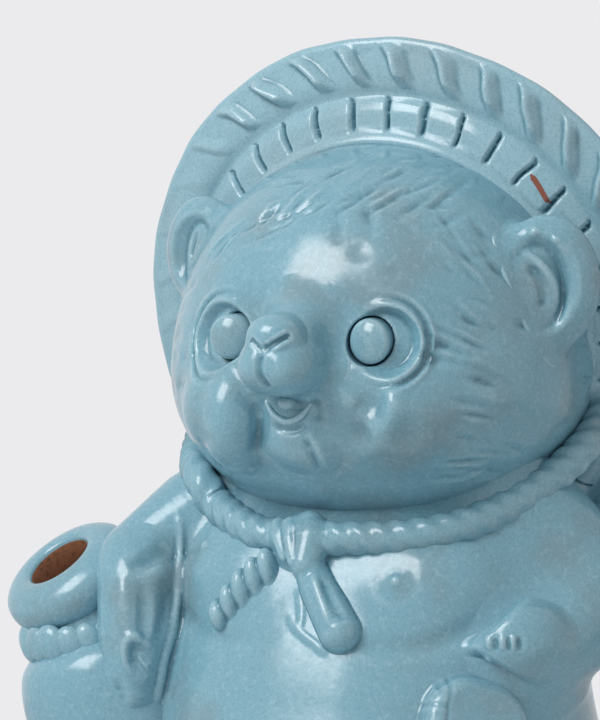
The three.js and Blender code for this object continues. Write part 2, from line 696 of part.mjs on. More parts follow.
function addArms() {
  addPiece("right_arm", cutBy(rightArmForm(), torsoForm, headForm, hatForm, cordForm));
  addPiece("right_hand", cutBy(rightHandForm(), rightArmForm, torsoForm));
  addPiece("left_arm", cutBy(leftArmForm(), torsoForm, headForm, hatForm, cordForm));
  addPiece("left_hand", cutBy(leftHandForm(), leftArmForm, torsoForm));
}

/** The account book lies on the belly, under the left hand. */
function addBook() {
  const centreZ = leftTip.z - BOOK_DROP - BOOK_HEIGHT / 2;
  const seat = torsoPoint(centreZ, BOOK_AZIMUTH);
  const up = torsoPoint(centreZ + BOOK_HEIGHT / 2, BOOK_AZIMUTH).sub(seat);
  const aside = torsoPoint(centreZ, BOOK_AZIMUTH + 10).sub(seat);
  const outward = aside.cross(up).normalize();
  book.up.set(0, 0, 1);
  book.position.copy(seat).addScaledVector(outward, -BOOK_THICKNESS / 2);
  book.lookAt(seat.clone().add(outward));
  book.updateMatrixWorld(true);

  const outline = new THREE.Shape();
  for (const [x, y, start] of [[1, -1, -90], [1, 1, 0], [-1, 1, 90], [-1, -1, 180]]) {
    const centre = [x * (BOOK_WIDTH / 2 - BOOK_CORNER), y * (BOOK_HEIGHT / 2 - BOOK_CORNER)];
    outline.absarc(...centre, BOOK_CORNER, radians(start), radians(start + 90));
  }
  const options = { depth: BOOK_THICKNESS, curveSegments: BOOK_CORNER_STEPS, bevelEnabled: false };
  const block = new THREE.ExtrudeGeometry(outline, options).rotateZ(radians(BOOK_ROLL));
  addPiece("account_book", cutBy(solidOf(block, book), torsoForm, leftHandForm, leftArmForm), book);
}

// Flask

/** The flask's outside from its foot to the top of its neck. */
function flaskOutside(grow = 0) {
  const profile = new THREE.SplineCurve([
    new THREE.Vector2(FLASK_FOOT_RADIUS + grow, flaskFoot - grow),
    new THREE.Vector2(FLASK_RADIUS + grow, flaskFoot + FLASK_BELLY_RISE),
    new THREE.Vector2(FLASK_SHOULDER_RADIUS + grow, flaskShoulder),
    new THREE.Vector2(FLASK_NECK_RADIUS + grow, flaskNeck),
    new THREE.Vector2(FLASK_THROAT_RADIUS + grow, flaskTop),
  ]);
  return profile.getPoints(PROFILE_POINTS).map((place) => [place.x, place.y]);
}

function flaskForm(grow = 0) {
  return solidOf(lathe([[0, flaskFoot - grow], ...flaskOutside(grow), [0, flaskTop]]), flask);
}

function flaskCordForm() {
  const ring = new THREE.TorusGeometry(FLASK_NECK_RADIUS, FLASK_CORD_RADIUS, CORD_SIDES, ROUND_SIDES);
  return solidOf(ring.rotateX(Math.PI / 2).translate(0, flaskNeck, 0), flask);
}

function mouthRingForm(grow = 0) {
  const outline = [
    [0, -grow],
    [MOUTH_RING_FOOT_RADIUS + grow, -grow],
    [MOUTH_RING_RADIUS + grow, MOUTH_RING_HEIGHT / 3],
    [MOUTH_RING_RADIUS + grow, (MOUTH_RING_HEIGHT * 2) / 3],
    [MOUTH_RING_LIP_RADIUS + grow, MOUTH_RING_HEIGHT + grow],
    [0, MOUTH_RING_HEIGHT + grow],
  ];
  return solidOf(lathe(outline), mouthRing);
}

function addFlask() {
  const inside = flaskOutside(-FLASK_WALL);
  const open = flaskTop + FLASK_WALL;
  const hollow = lathe([[0, flaskFoot + FLASK_WALL], ...inside, [MOUTH_BORE_BOTTOM, open], [0, open]]);
  const boreTop = MOUTH_RING_HEIGHT + FLASK_WALL;
  const boreOutline = [
    [0, -MOUTH_BORE_REACH],
    [MOUTH_BORE_BOTTOM, -MOUTH_BORE_REACH],
    [MOUTH_BORE, boreTop],
    [0, boreTop],
  ];
  const opening = solidOf(lathe(boreOutline), mouthRing);
  const body = flaskForm().subtract(solidOf(hollow, flask)).subtract(opening);
  const neighbours = [torsoForm, rightArmForm, rightHandForm];
  addPiece("flask_body", cutBy(body, mouthRingForm, ...neighbours), flask);
  addPiece("flask_mouth_ring", cutBy(mouthRingForm().subtract(opening), ...neighbours), mouthRing);
  addPiece("flask_cord", cutBy(flaskCordForm(), flaskForm, mouthRingForm, ...neighbours), flask);
}

// Feet and tail

function addFeet() {
  for (const [side, word] of SIDES) {
    const seat = torsoPoint(HIP_RISE, side * FOOT_AZIMUTH);
    const foot = egg([seat.x, seat.y, FOOT_Z], FOOT_RADII, 0, SMALL);
    addPiece(`${word}_foot`, cutBy(foot, torsoForm).subtract(ground));
  }
}

function addTail() {
  const root = torsoPoint(bellyZ, 180);
  const drop = [0, Math.sin(radians(TAIL_LEAN)), -Math.cos(radians(TAIL_LEAN))];
  const places = [root, along(root, drop, TAIL_LENGTH / 2), along(root, drop, TAIL_LENGTH)];
  const brush = limb(places, [BRUSH_ROOT_RADIUS, BRUSH_RADIUS, BRUSH_TIP_RADIUS]);
  addPiece("tail", cutBy(brush, torsoForm).subtract(ground));
}

addTorso();
addHead();
addEyes();
addFace();
addEars();
addHat();
addCord();
addArms();
addBook();
addFlask();
addFeet();
addTail();

export default figure;
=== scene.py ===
"""A standing tanuki figure in pale blue glazed stoneware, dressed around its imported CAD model.

Every piece is shaped in millimetres as clay is: lumps are added, blended with slip and carved, all as
distance fields, and each field is then turned into a closed mesh. Geometry Nodes make what repeats or
follows a path: the pleated straw of the hat, the laid rope and the lashing round the flask.
The figure faces -Y, its own left is +X, and it stands on z = 0.
"""

import logging
import math
from dataclasses import dataclass, field as dataclass_field
from enum import Enum
from typing import Any, Callable, Optional, Sequence

import bpy
import numpy as np
from mathutils import Matrix, Vector

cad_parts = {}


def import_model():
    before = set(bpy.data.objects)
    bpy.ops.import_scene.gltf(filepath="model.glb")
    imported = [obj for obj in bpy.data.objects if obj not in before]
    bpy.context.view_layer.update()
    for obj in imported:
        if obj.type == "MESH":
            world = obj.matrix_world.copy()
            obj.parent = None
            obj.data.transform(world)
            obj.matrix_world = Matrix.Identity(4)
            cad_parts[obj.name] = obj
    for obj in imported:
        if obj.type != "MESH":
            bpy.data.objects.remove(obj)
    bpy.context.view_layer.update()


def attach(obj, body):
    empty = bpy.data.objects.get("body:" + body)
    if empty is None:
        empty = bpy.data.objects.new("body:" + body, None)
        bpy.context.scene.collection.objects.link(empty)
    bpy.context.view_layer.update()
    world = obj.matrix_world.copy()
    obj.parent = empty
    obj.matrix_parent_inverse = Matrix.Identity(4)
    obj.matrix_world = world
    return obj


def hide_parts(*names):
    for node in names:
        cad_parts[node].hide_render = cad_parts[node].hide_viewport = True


LOG = logging.getLogger("tanuki")
BODY = "root"
MM = 0.001

Array = np.ndarray
Point = tuple[float, float, float]
Pixel = tuple[float, float]  # across and down, in the photograph
Outline = tuple[float, float]  # radius and height of a turned form's corner
Box = tuple[Point, Point]  # two opposite corners, the lower one first
Field = Callable[[Array], Array]  # from places, one a row, to a distance or an amount for each

UP: Point = (0, 0, 1)
DOWN: Point = (0, 0, -1)
FORWARD: Point = (0, -1, 0)
BACKWARD: Point = (0, 1, 0)
TINY = 1e-6  # keeps a division from one by zero
DAYLIGHT = (0.96, 0.98, 1.0, 1.0)


class Side(Enum):
    """The figure's own right and left, as the sign of x."""

    RIGHT = -1
    LEFT = 1

    @property
    def word(self) -> str:
        """The side's name as node names start with it."""
        return self.name.lower()

    @property
    def index(self) -> int:
        """The side's place in a pair of values, right before left."""
        return int(self is Side.LEFT)


class Slot(Enum):
    """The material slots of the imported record."""

    GLAZE = "glaze"
    EYE_GLAZE = "eye_glaze"
    BARE_CLAY = "bare_clay"


# Clay as distance fields, in millimetres


def length(vectors: Array) -> Array:
    """The length of each row."""
    return np.sqrt(np.einsum("ij,ij->i", vectors, vectors))


def unit(vector: Sequence[float]) -> Array:
    """A vector of length 1 in the same direction."""
    v = np.asarray(vector, float)
    return v / np.linalg.norm(v)


def mirrored(at: Sequence[float], side: Side) -> Point:
    """A place given on the figure's left, or its mirror image on the right."""
    return (at[0] * side.value, at[1], at[2])


def box_on(box: Box, side: Side) -> Box:
    """A box given on the figure's left, or its mirror image on the right."""
    low, high = sorted(mirrored(corner, side)[0] for corner in box)
    return (low, *box[0][1:]), (high, *box[1][1:])


def through(points: Sequence[Sequence[float]], count: int) -> Array:
    """A smooth line through points.

    Args:
        points: the places that it passes, in any number of dimensions.
        count: how many places the line is given by.

    Returns:
        The places along the line, one a row.
    """
    p = np.asarray(points, float)
    p = np.vstack([2 * p[0] - p[1], p, 2 * p[-1] - p[-2]])
    spans = len(p) - 3
    at = np.linspace(0, spans, count)
    i = np.minimum(at.astype(int), spans - 1)
    t = (at - i)[:, None]
    a, b, c, d = (p[i + k] for k in range(4))
    return 0.5 * (2 * b + (c - a) * t + (2 * a - 5 * b + 4 * c - d) * t**2 + (3 * b - a - 3 * c + d) * t**3)


def frame_of(axis: Sequence[float], up: Sequence[float] = UP) -> Array:
    """Three directions as columns: across, along `axis`, and as near `up` as can be.

    Args:
        axis: the second column's direction.
        up: the direction that the third column leans to.

    Returns:
        A matrix that turns local places to the figure's frame.
    """
    along = unit(axis)
    across = unit(np.cross(along, up))
    return np.column_stack([across, along, np.cross(across, along)])


def egg(centre: Sequence[float], radii: Sequence[float], turn: Optional[Array] = None) -> Field:
    """An egg-shaped lump.

    Args:
        centre: its middle.
        radii: half its size along each of its axes.
        turn: its axes as columns, where it doesn't lie along the figure's.

    Returns:
        Its distance field.
    """
    c, r = np.float32(centre), np.float32(radii)

    def distance(p: Array) -> Array:
        q = p - c if turn is None else (p - c) @ np.float32(turn)
        k = length(q / r)
        return k * (k - 1) / np.maximum(length(q / (r * r)), TINY)

    return distance


def line_distance(p: Array, line: Array) -> tuple[Array, Array]:
    """How far places lie from a line of short spans.

    Args:
        p: the places.
        line: the line's own places.

    Returns:
        The distances, and how far along the line each nearest place is, from 0 to 1.
    """
    best = np.full(len(p), 1e9, np.float32)
    share = np.zeros(len(p), np.float32)
    spans = len(line) - 1
    for i in range(spans):
        a, ab = np.float32(line[i]), np.float32(line[i + 1] - line[i])
        t = np.clip(((p - a) @ ab) / max(float(ab @ ab), 1e-9), 0, 1)
        d = length(p - a - t[:, None] * ab)
        nearer = d < best
        best = np.where(nearer, d, best)
        share = np.where(nearer, (i + t) / spans, share)
    return best, share


def limb(points: Sequence[Sequence[float]], radii: Sequence[float], count: int = 12) -> Field:
    """A rolled length of clay, bent through points.

    Args:
        points: the places that its middle passes.
        radii: its radius at evenly spaced places along it.
        count: how many places give its line.

    Returns:
        Its distance field.
    """
    line = through(points, count)
    marks = np.linspace(0, 1, len(radii))

    def distance(p: Array) -> Array:
        d, share = line_distance(p, line)
        return d - np.interp(share, marks, radii).astype(np.float32)

    return distance


def soft_min(a: Array, b: Array, soft: float) -> Array:
    """The nearer of two distances, with the crease between them filled over a width."""
    h = np.maximum(soft - np.abs(a - b), 0) / soft
    return np.minimum(a, b) - h * h * soft / 4


def merged(fields: Sequence[Field], merge: Callable[[Array, Array], Array]) -> Field:
    """One field of several, each merged in turn into what those before it have made.

    Args:
        fields: the fields.
        merge: makes one value of what is there and the next field's value.

    Returns:
        The result.
    """

    def value(p: Array) -> Array:
        made = fields[0](p)
        for other in fields[1:]:
            made = merge(made, other(p))
        return made

    return value


def joined(soft: float, *lumps: Field) -> Field:
    """Lumps of clay pressed together, with the creases between them filled over the width `soft`."""
    return merged(lumps, lambda a, b: soft_min(a, b, soft))


def without(lump: Field, *tools: Field, soft: float = 0.3) -> Field:
    """A lump with the shapes of tools taken out of it, and the edges softened over the width `soft`."""
    return merged([lump, *tools], lambda a, b: -soft_min(-a, b, soft))


def within(lump: Field, *limits: Field) -> Field:
    """The part of a lump that lies inside every limit."""
    return merged([lump, *limits], np.maximum)


def carved(lump: Field, cuts: Sequence[Field]) -> Field:
    """A lump with clay taken away, or raised, by each cut."""
    return merged([lump, *cuts], np.add)


def beyond(at: Sequence[float], direction: Sequence[float]) -> Field:
    """All that lies behind a plane, seen from where `direction` points."""
    origin, normal = np.float32(at), np.float32(unit(direction))
    return lambda p: (p - origin) @ normal


SINK = 0.2  # how far the edge of a fillet lies under the surface that it runs out on to


def fused(lump: Field, hosts: Sequence[Field], fillet: float, tuck: float = 1.2) -> Field:
    """A lump stuck to others, with a fillet of slip and glaze that runs out on to them.

    Args:
        lump: the lump itself.
        hosts: what it is stuck to, whose insides it is cut back from.
        fillet: how far the fillet reaches.
        tuck: how deep the piece goes under its hosts' surface.

    Returns:
        The stuck piece's distance field.
    """
    nearest = merged(hosts, np.minimum)

    def distance(p: Array) -> Array:
        own, host = lump(p), nearest(p)
        blend = soft_min(own, host + SINK, fillet)
        return np.maximum(np.maximum(blend, -host - tuck), own - fillet)

    return distance


def boxed(low: Array, high: Array, amount: Field) -> Field:
    """An amount that is worked out only inside a box, and is 0 outside it.

    Args:
        low: the box's lowest corner.
        high: its highest corner.
        amount: the amount.

    Returns:
        The amount at each place.
    """
    lower, upper = np.float32(low), np.float32(high)

    def taken(p: Array) -> Array:
        inside = np.all((p > lower) & (p < upper), axis=1)
        out = np.zeros(len(p), np.float32)
        if inside.any():
            out[inside] = amount(p[inside])
        return out

    return taken


def groove(points: Sequence[Sequence[float]], depth: float, width: float, taper: float = 0.0) -> Field:
    """A groove pressed along a line; a depth below 0 raises a ridge instead.

    Args:
        points: the places that the line passes, on the clay.
        depth: how deep it is.
        width: half its width, about.
        taper: the share of its length over which each end runs out.

    Returns:
        How much clay it takes away at each place.
    """
    line = through(points, 3 * len(points)) if len(points) > 2 else np.asarray(points, float)

    def amount(p: Array) -> Array:
        d, share = line_distance(p, line)
        ends = np.clip(np.minimum(share, 1 - share) / taper, 0.05, 1) if taper else 1.0
        return (depth * ends * np.exp(-((d / width) ** 2))).astype(np.float32)

    return boxed(line.min(0) - 3 * width, line.max(0) + 3 * width, amount)


def ring(centre: Sequence[float], radius: float, width: float, depth: float) -> Field:
    """A round groove about a place; a depth below 0 raises a rim instead.

    Args:
        centre: its middle.
        radius: its radius.
        width: half the groove's width, about.
        depth: how deep it is.

    Returns:
        How much clay it takes away at each place.
    """
    c = np.float32(centre)

    def amount(p: Array) -> Array:
        return depth * np.exp(-(((length(p - c) - radius) / width) ** 2))

    return boxed(c - radius - 3 * width, c + radius + 3 * width, amount)


def dimple(centre: Sequence[float], radius: float, depth: float) -> Field:
    """A round hollow; a depth below 0 raises a bump instead."""
    return ring(centre, 0.0, radius, depth)


# From a field to a mesh

BLOCK = 4  # how many cells a side of a block has, which is looked at as a whole first
CORNERS = np.array([(i, j, k) for i in (0, 1) for j in (0, 1) for k in (0, 1)])
EDGES = [(a, b) for a in range(8) for b in range(a + 1, 8) if np.abs(CORNERS[a] - CORNERS[b]).sum() == 1]
CHUNK = 150_000  # how many places a field is worked out for at once


def sampled(lump: Field, p: Array) -> Array:
    """A field at many places, a chunk at a time."""
    parts = [lump(p[i : i + CHUNK]) for i in range(0, len(p), CHUNK)]
    return np.concatenate(parts).astype(np.float32)


def slope_of(lump: Field, p: Array, step: float) -> Array:
    """The direction in which a field grows at each place.

    Args:
        lump: the field.
        p: the places.
        step: how far to each side it is looked at.

    Returns:
        One direction a row.
    """
    out = np.empty_like(p)
    for axis in range(3):
        shift = np.zeros(3, np.float32)
        shift[axis] = step
        out[:, axis] = (sampled(lump, p + shift) - sampled(lump, p - shift)) / (2 * step)
    return out


def grid_values(lump: Field, low: Array, high: Array, cell: float) -> Array:
    """A field on a grid, worked out finely only near its surface.

    Args:
        lump: the field.
        low: the grid's lowest corner.
        high: a corner that the grid reaches past.
        cell: the grid's spacing.

    Returns:
        The field's values, one for each crossing of the grid.
    """
    count = np.ceil((high - low) / (cell * BLOCK)).astype(int)
    places = np.indices(count).reshape(3, -1).T
    coarse = sampled(lump, (low + (places + 0.5) * cell * BLOCK).astype(np.float32))
    rough = np.sign(coarse).reshape(count).astype(np.float32)
    values = np.ones(count * BLOCK + 1, np.float32)
    values[:-1, :-1, :-1] = rough.repeat(BLOCK, 0).repeat(BLOCK, 1).repeat(BLOCK, 2)
    near = places[np.abs(coarse) < cell * BLOCK * 1.5]
    steps = np.indices((BLOCK + 1,) * 3).reshape(3, -1).T
    at = (near[:, None] * BLOCK + steps).reshape(-1, 3)
    values[tuple(at.T)] = sampled(lump, (low + at * cell).astype(np.float32))
    return values


def skin(values: Array) -> tuple[Array, Array]:
    """The surface where a grid of values changes sign, with one vertex in each cell that it crosses.

    Args:
        values: the grid.

    Returns:
        The vertices in cells, and the four-sided faces, which point to the higher values.
    """
    inside = values < 0
    spans = [slice(None, -1), slice(1, None)]
    count = sum(inside[spans[i], spans[j], spans[k]].astype(np.int8) for i, j, k in CORNERS)
    crossed = (count > 0) & (count < 8)
    cells = np.argwhere(crossed)
    number = np.full(crossed.shape, -1, np.int64)
    number[crossed] = np.arange(len(cells))
    corner = np.stack([values[tuple((cells + c).T)] for c in CORNERS], 1)
    total = np.zeros((len(cells), 3), np.float32)
    hits = np.zeros((len(cells), 1), np.float32)
    for a, b in EDGES:
        changes = (corner[:, a] < 0) != (corner[:, b] < 0)
        t = corner[changes, a] / (corner[changes, a] - corner[changes, b])
        total[changes] += CORNERS[a] + t[:, None] * (CORNERS[b] - CORNERS[a])
        hits[changes] += 1
    faces = []
    for axis in range(3):
        first = np.moveaxis(inside, axis, 0)[:-1]
        second = np.moveaxis(inside, axis, 0)[1:]
        found = np.argwhere(first != second)
        opens = first[tuple(found.T)]
        at = np.insert(found[:, 1:], axis, found[:, 0], axis=1)
        u, v = np.eye(3, dtype=int)[(axis + 1) % 3], np.eye(3, dtype=int)[(axis + 2) % 3]
        around = [number[tuple((at - step).T)] for step in (u + v, v, 0 * u, u)]
        quad = np.stack(around, 1)
        quad[~opens] = quad[~opens][:, ::-1]
        faces.append(quad)
    return cells + total / hits, np.concatenate(faces)


def neighbour_mean(values: Array, edges: Array) -> Array:
    """The mean of each vertex's neighbours.

    Args:
        values: a value or a row of values for each vertex.
        edges: pairs of vertices.

    Returns:
        The means, in the form of the values.
    """
    size = len(values)
    a, b = np.concatenate([edges[:, 0], edges[:, 1]]), np.concatenate([edges[:, 1], edges[:, 0]])
    share = np.maximum(np.bincount(a, minlength=size), 1)
    if values.ndim == 1:
        return np.bincount(a, weights=values[b], minlength=size) / share
    columns = [np.bincount(a, weights=values[b, k], minlength=size) / share for k in range(values.shape[1])]
    return np.stack(columns, 1)


def sculpt(lump: Field, box: Box, cell: float, relief: Sequence[Field] = ()) -> tuple[Array, Array]:
    """A closed mesh of a lump of clay.

    Args:
        lump: its field.
        box: two corners that it lies between.
        cell: the size of the mesh's faces.
        relief: fine marks pressed in at the end.

    Returns:
        The vertices in millimetres and the four-sided faces.
    """
    start, end = np.float32(box[0]), np.float32(box[1])
    cells, quads = skin(grid_values(lump, start, end, cell))
    p = (start + cells * cell).astype(np.float32)
    pairs = np.concatenate([quads[:, [0, 1]], quads[:, [1, 2]], quads[:, [2, 3]], quads[:, [3, 0]]])
    edges = np.unique(np.sort(pairs, 1), axis=0)
    for ease in (0.5, 0.5, 0.0):
        if ease:
            p = p + ease * (neighbour_mean(p, edges) - p).astype(np.float32)
        slope = slope_of(lump, p, cell / 4)
        steep = np.maximum(np.einsum("ij,ij->i", slope, slope), 0.3)
        pull = np.clip(sampled(lump, p) / steep, -cell, cell)
        p = p - pull[:, None] * slope
    if relief:
        normal = slope_of(lump, p, cell / 2)
        normal /= np.maximum(length(normal), TINY)[:, None]
        p = p - sum(mark(p) for mark in relief)[:, None] * normal
    return p, quads


def mesh_of(name: str, p: Array, faces: Array) -> bpy.types.Mesh:
    """A Blender mesh from places in millimetres and faces of one size.

    Args:
        name: the mesh's name.
        p: the vertices.
        faces: the vertices of each face, one face a row.

    Returns:
        The mesh, in metres and shaded smooth.
    """
    mesh = bpy.data.meshes.new(name)
    count, sides = faces.shape
    mesh.vertices.add(len(p))
    mesh.vertices.foreach_set("co", (p * MM).astype(np.float32).ravel())
    mesh.loops.add(count * sides)
    mesh.loops.foreach_set("vertex_index", faces.astype(np.int32).ravel())
    mesh.polygons.add(count)
    mesh.polygons.foreach_set("loop_start", np.arange(0, count * sides, sides, dtype=np.int32))
    mesh.update(calc_edges=True)
    mesh.validate()
    mesh.shade_smooth()
    return mesh


def turned(outline: Sequence[Sequence[float]], sides: int) -> tuple[Array, Array]:
    """A ring turned about the local Y axis from a closed outline that stays off the axis.

    Args:
        outline: [radius, height] corners, anticlockwise seen with the axis on the left.
        sides: how many steps it takes to go round.

    Returns:
        The vertices and the four-sided faces.
    """
    profile = np.asarray(outline, float)
    angle = np.linspace(0, 2 * math.pi, sides, endpoint=False)
    x = np.cos(angle)[:, None] * profile[:, 0]
    z = -np.sin(angle)[:, None] * profile[:, 0]
    y = np.broadcast_to(profile[:, 1], x.shape)
    p = np.stack([x, y, z], 2).reshape(-1, 3)
    size = len(profile)
    i, j = np.meshgrid(np.arange(sides), np.arange(size), indexing="ij")
    i2, j2 = (i + 1) % sides, (j + 1) % size
    quads = np.stack([i * size + j, i2 * size + j, i2 * size + j2, i * size + j2], 2)
    return p, quads.reshape(-1, 4)


# Nodes and finishes


def linear(hex_colour: str) -> tuple[float, float, float, float]:
    """An sRGB hex colour as Blender's linear one."""
    parts = [int(hex_colour[i : i + 2], 16) / 255 for i in (1, 3, 5)]
    return (*(c / 12.92 if c <= 0.04045 else ((c + 0.055) / 1.055) ** 2.4 for c in parts), 1.0)


def add(
    tree: bpy.types.NodeTree, kind: str, inputs: Optional[dict] = None, out: Any = 0, **settings: Any
) -> Optional[bpy.types.NodeSocket]:
    """Adds a node.

    Args:
        tree: where it goes.
        kind: its type.
        inputs: what goes into it, by the socket's name or number: a value, or a socket to link.
        out: the output that is wanted, by name or number.
        settings: the node's own settings.

    Returns:
        That output, where the node has any.
    """
    node = tree.nodes.new(kind)
    for key, value in settings.items():
        setattr(node, key, value)
    for key, value in (inputs or {}).items():
        if isinstance(value, bpy.types.NodeSocket):
            tree.links.new(value, node.inputs[key])
        else:
            node.inputs[key].default_value = value
    return node.outputs[out] if len(node.outputs) else None


def new_material(name: str) -> tuple[bpy.types.Material, bpy.types.NodeTree, Any, bpy.types.NodeSocket]:
    """Starts a material.

    Args:
        name: its name.

    Returns:
        The material, its node tree, its shader, and the place on the object that it is asked for.
    """
    made = bpy.data.materials.new(name)
    made.use_nodes = True
    tree = made.node_tree
    return made, tree, tree.nodes["Principled BSDF"], add(tree, "ShaderNodeTexCoord", out="Object")


@dataclass(frozen=True)
class Glaze:
    """Satin stoneware glaze, brushed on and fired: it pools darker in hollows and thins paler on ridges,
    and these tints are laid on strongly enough to be painted shade in the hollows and a painted
    highlight on the ridges as well.

    Fine crystals mottle it, a slight ripple breaks up its highlights, and pinholes and chips show the
    red clay. Pieces marked for it, the hat's straw, are painted paler all over: painted light.
    """

    name: str
    body: str = "#7FAEBE"
    # tint of pooled glaze in hollows, also painted shade there, and of random mottling
    hollow: str = "#4A7C8D"
    # tint of thin glaze on ridges, also a painted highlight there and the hat's painted paler tint, and of
    # random blotches
    ridge: str = "#A8CAD5"
    smoke: str = "#7F949B"
    clay: str = "#8A4A36"
    roughness: float = 0.2
    mottle_mm: float = 0.55
    blotch_mm: float = 1.4
    cloud_mm: float = 28.0
    ripple_mm: float = 1.5
    pinhole_mm: float = 15.0

    def material(self) -> bpy.types.Material:
        """Builds the glaze's material.

        Returns:
            The material.
        """
        made, tree, shader, at = new_material(self.name)
        noise = {}
        details = {self.cloud_mm: 3.0, self.mottle_mm: 2.0, self.blotch_mm: 2.0, self.ripple_mm: 3.0}
        for size, detail in details.items():
            inputs = {"Vector": at, "Scale": 1 / (size * MM), "Detail": detail}
            noise[size] = add(tree, "ShaderNodeTexNoise", inputs)
        fold = add(tree, "ShaderNodeAttribute", out="Fac", attribute_name="fold")
        chip = add(tree, "ShaderNodeAttribute", out="Fac", attribute_name="chip")
        # `thin` marks the hat's straw, which is painted paler all over: painted light
        thin = add(tree, "ShaderNodeAttribute", out="Fac", attribute_name="thin")
        cells = {"Vector": at, "Scale": 1 / (self.pinhole_mm * MM)}
        holes = add(tree, "ShaderNodeTexVoronoi", cells, out="Distance")
        colour: Any = linear(self.body)
        # each layer shows more of its tint as its value goes from the first number to the second
        for value, first, second, most, tint in (
            (noise[self.cloud_mm], 0.47, 0.7, 0.72, self.smoke),
            # painted light: the hat's straw, marked all over by `thin`, is painted paler for light its face
            # does not get
            (thin, 0.0, 1.0, 0.55, self.ridge),
            # glaze pooled darker in hollows, and painted shade there as well
            (fold, 0.02, 0.5, 0.85, self.hollow),
            # glaze thinned paler on ridges, and a painted highlight along them as well
            (fold, -0.03, -0.5, 0.7, self.ridge),
            (noise[self.mottle_mm], 0.42, 0.72, 0.3, self.hollow),
            (noise[self.blotch_mm], 0.5, 0.75, 0.3, self.ridge),
            (holes, 0.034, 0.018, 0.9, self.clay),
            (chip, 0.2, 0.6, 1.0, self.clay),
        ):
            spans = {"Value": value, "From Min": first, "From Max": second, "To Max": most}
            share = add(tree, "ShaderNodeMapRange", spans, interpolation_type="SMOOTHSTEP")
            colour = add(tree, "ShaderNodeMix", {0: share, 6: colour, 7: linear(tint)}, 2, data_type="RGBA")
        tree.links.new(colour, shader.inputs["Base Color"])
        spans = {"Value": noise[self.ripple_mm], "From Min": 0.3, "From Max": 0.7}
        spans |= {"To Min": self.roughness - 0.06, "To Max": self.roughness + 0.06}
        tree.links.new(add(tree, "ShaderNodeMapRange", spans), shader.inputs["Roughness"])
        ripple = {"Height": noise[self.ripple_mm], "Strength": 0.3, "Distance": 0.06 * MM}
        tree.links.new(add(tree, "ShaderNodeBump", ripple), shader.inputs["Normal"])
        shader.inputs["IOR"].default_value = 1.56
        return made


@dataclass(frozen=True)
class BareClay:
    """Unglazed red stoneware, wiped with a sponge: matt, grainy, and speckled with darker grog."""

    name: str
    body: str = "#8F5D40"
    dark: str = "#6E4630"
    grain_mm: float = 0.8
    grog_mm: float = 1.3

    def material(self) -> bpy.types.Material:
        """Builds the clay's material.

        Returns:
            The material.
        """
        made, tree, shader, at = new_material(self.name)
        noise = []
        for size, detail in ((self.grain_mm, 4.0), (self.grog_mm, 3.0)):
            inputs = {"Vector": at, "Scale": 1 / (size * MM), "Detail": detail}
            noise.append(add(tree, "ShaderNodeTexNoise", inputs))
        grain, grog = noise
        share = add(tree, "ShaderNodeMapRange", {"Value": grog, "From Min": 0.5, "From Max": 0.68})
        tints = {0: share, 6: linear(self.body), 7: linear(self.dark)}
        tree.links.new(add(tree, "ShaderNodeMix", tints, 2, data_type="RGBA"), shader.inputs["Base Color"])
        bump = {"Height": grain, "Strength": 0.5, "Distance": 0.15 * MM}
        tree.links.new(add(tree, "ShaderNodeBump", bump), shader.inputs["Normal"])
        shader.inputs["Roughness"].default_value = 0.85
        return made


def mark_folds(mesh: bpy.types.Mesh, reach: float = 2.2) -> None:
    """Stores how hollow, above 0, or ridged, below 0, the surface is at each vertex.

    Args:
        mesh: the finished mesh.
        reach: the radius in millimetres of a hollow that counts as full.
    """
    size = len(mesh.vertices)
    p, normal = np.empty(size * 3, np.float32), np.empty(size * 3, np.float32)
    mesh.vertices.foreach_get("co", p)
    mesh.vertices.foreach_get("normal", normal)
    edges = np.empty(len(mesh.edges) * 2, np.int32)
    mesh.edges.foreach_get("vertices", edges)
    p, normal, edges = p.reshape(-1, 3) / MM, normal.reshape(-1, 3), edges.reshape(-1, 2)
    spans = length(p[edges[:, 0]] - p[edges[:, 1]])
    long = np.concatenate([spans, spans])
    ends = np.concatenate([edges[:, 0], edges[:, 1]])
    share = np.maximum(np.bincount(ends, minlength=size), 1)
    square = np.bincount(ends, weights=long**2, minlength=size) / share
    bend = np.einsum("ij,ij->i", neighbour_mean(p, edges) - p, normal) / np.maximum(square, TINY)
    for _ in range(3):
        bend = 0.5 * bend + 0.5 * neighbour_mean(bend, edges)
    stored = mesh.attributes.new("fold", "FLOAT", "POINT")
    stored.data.foreach_set("value", np.clip(bend * reach, -1, 1).astype(np.float32))


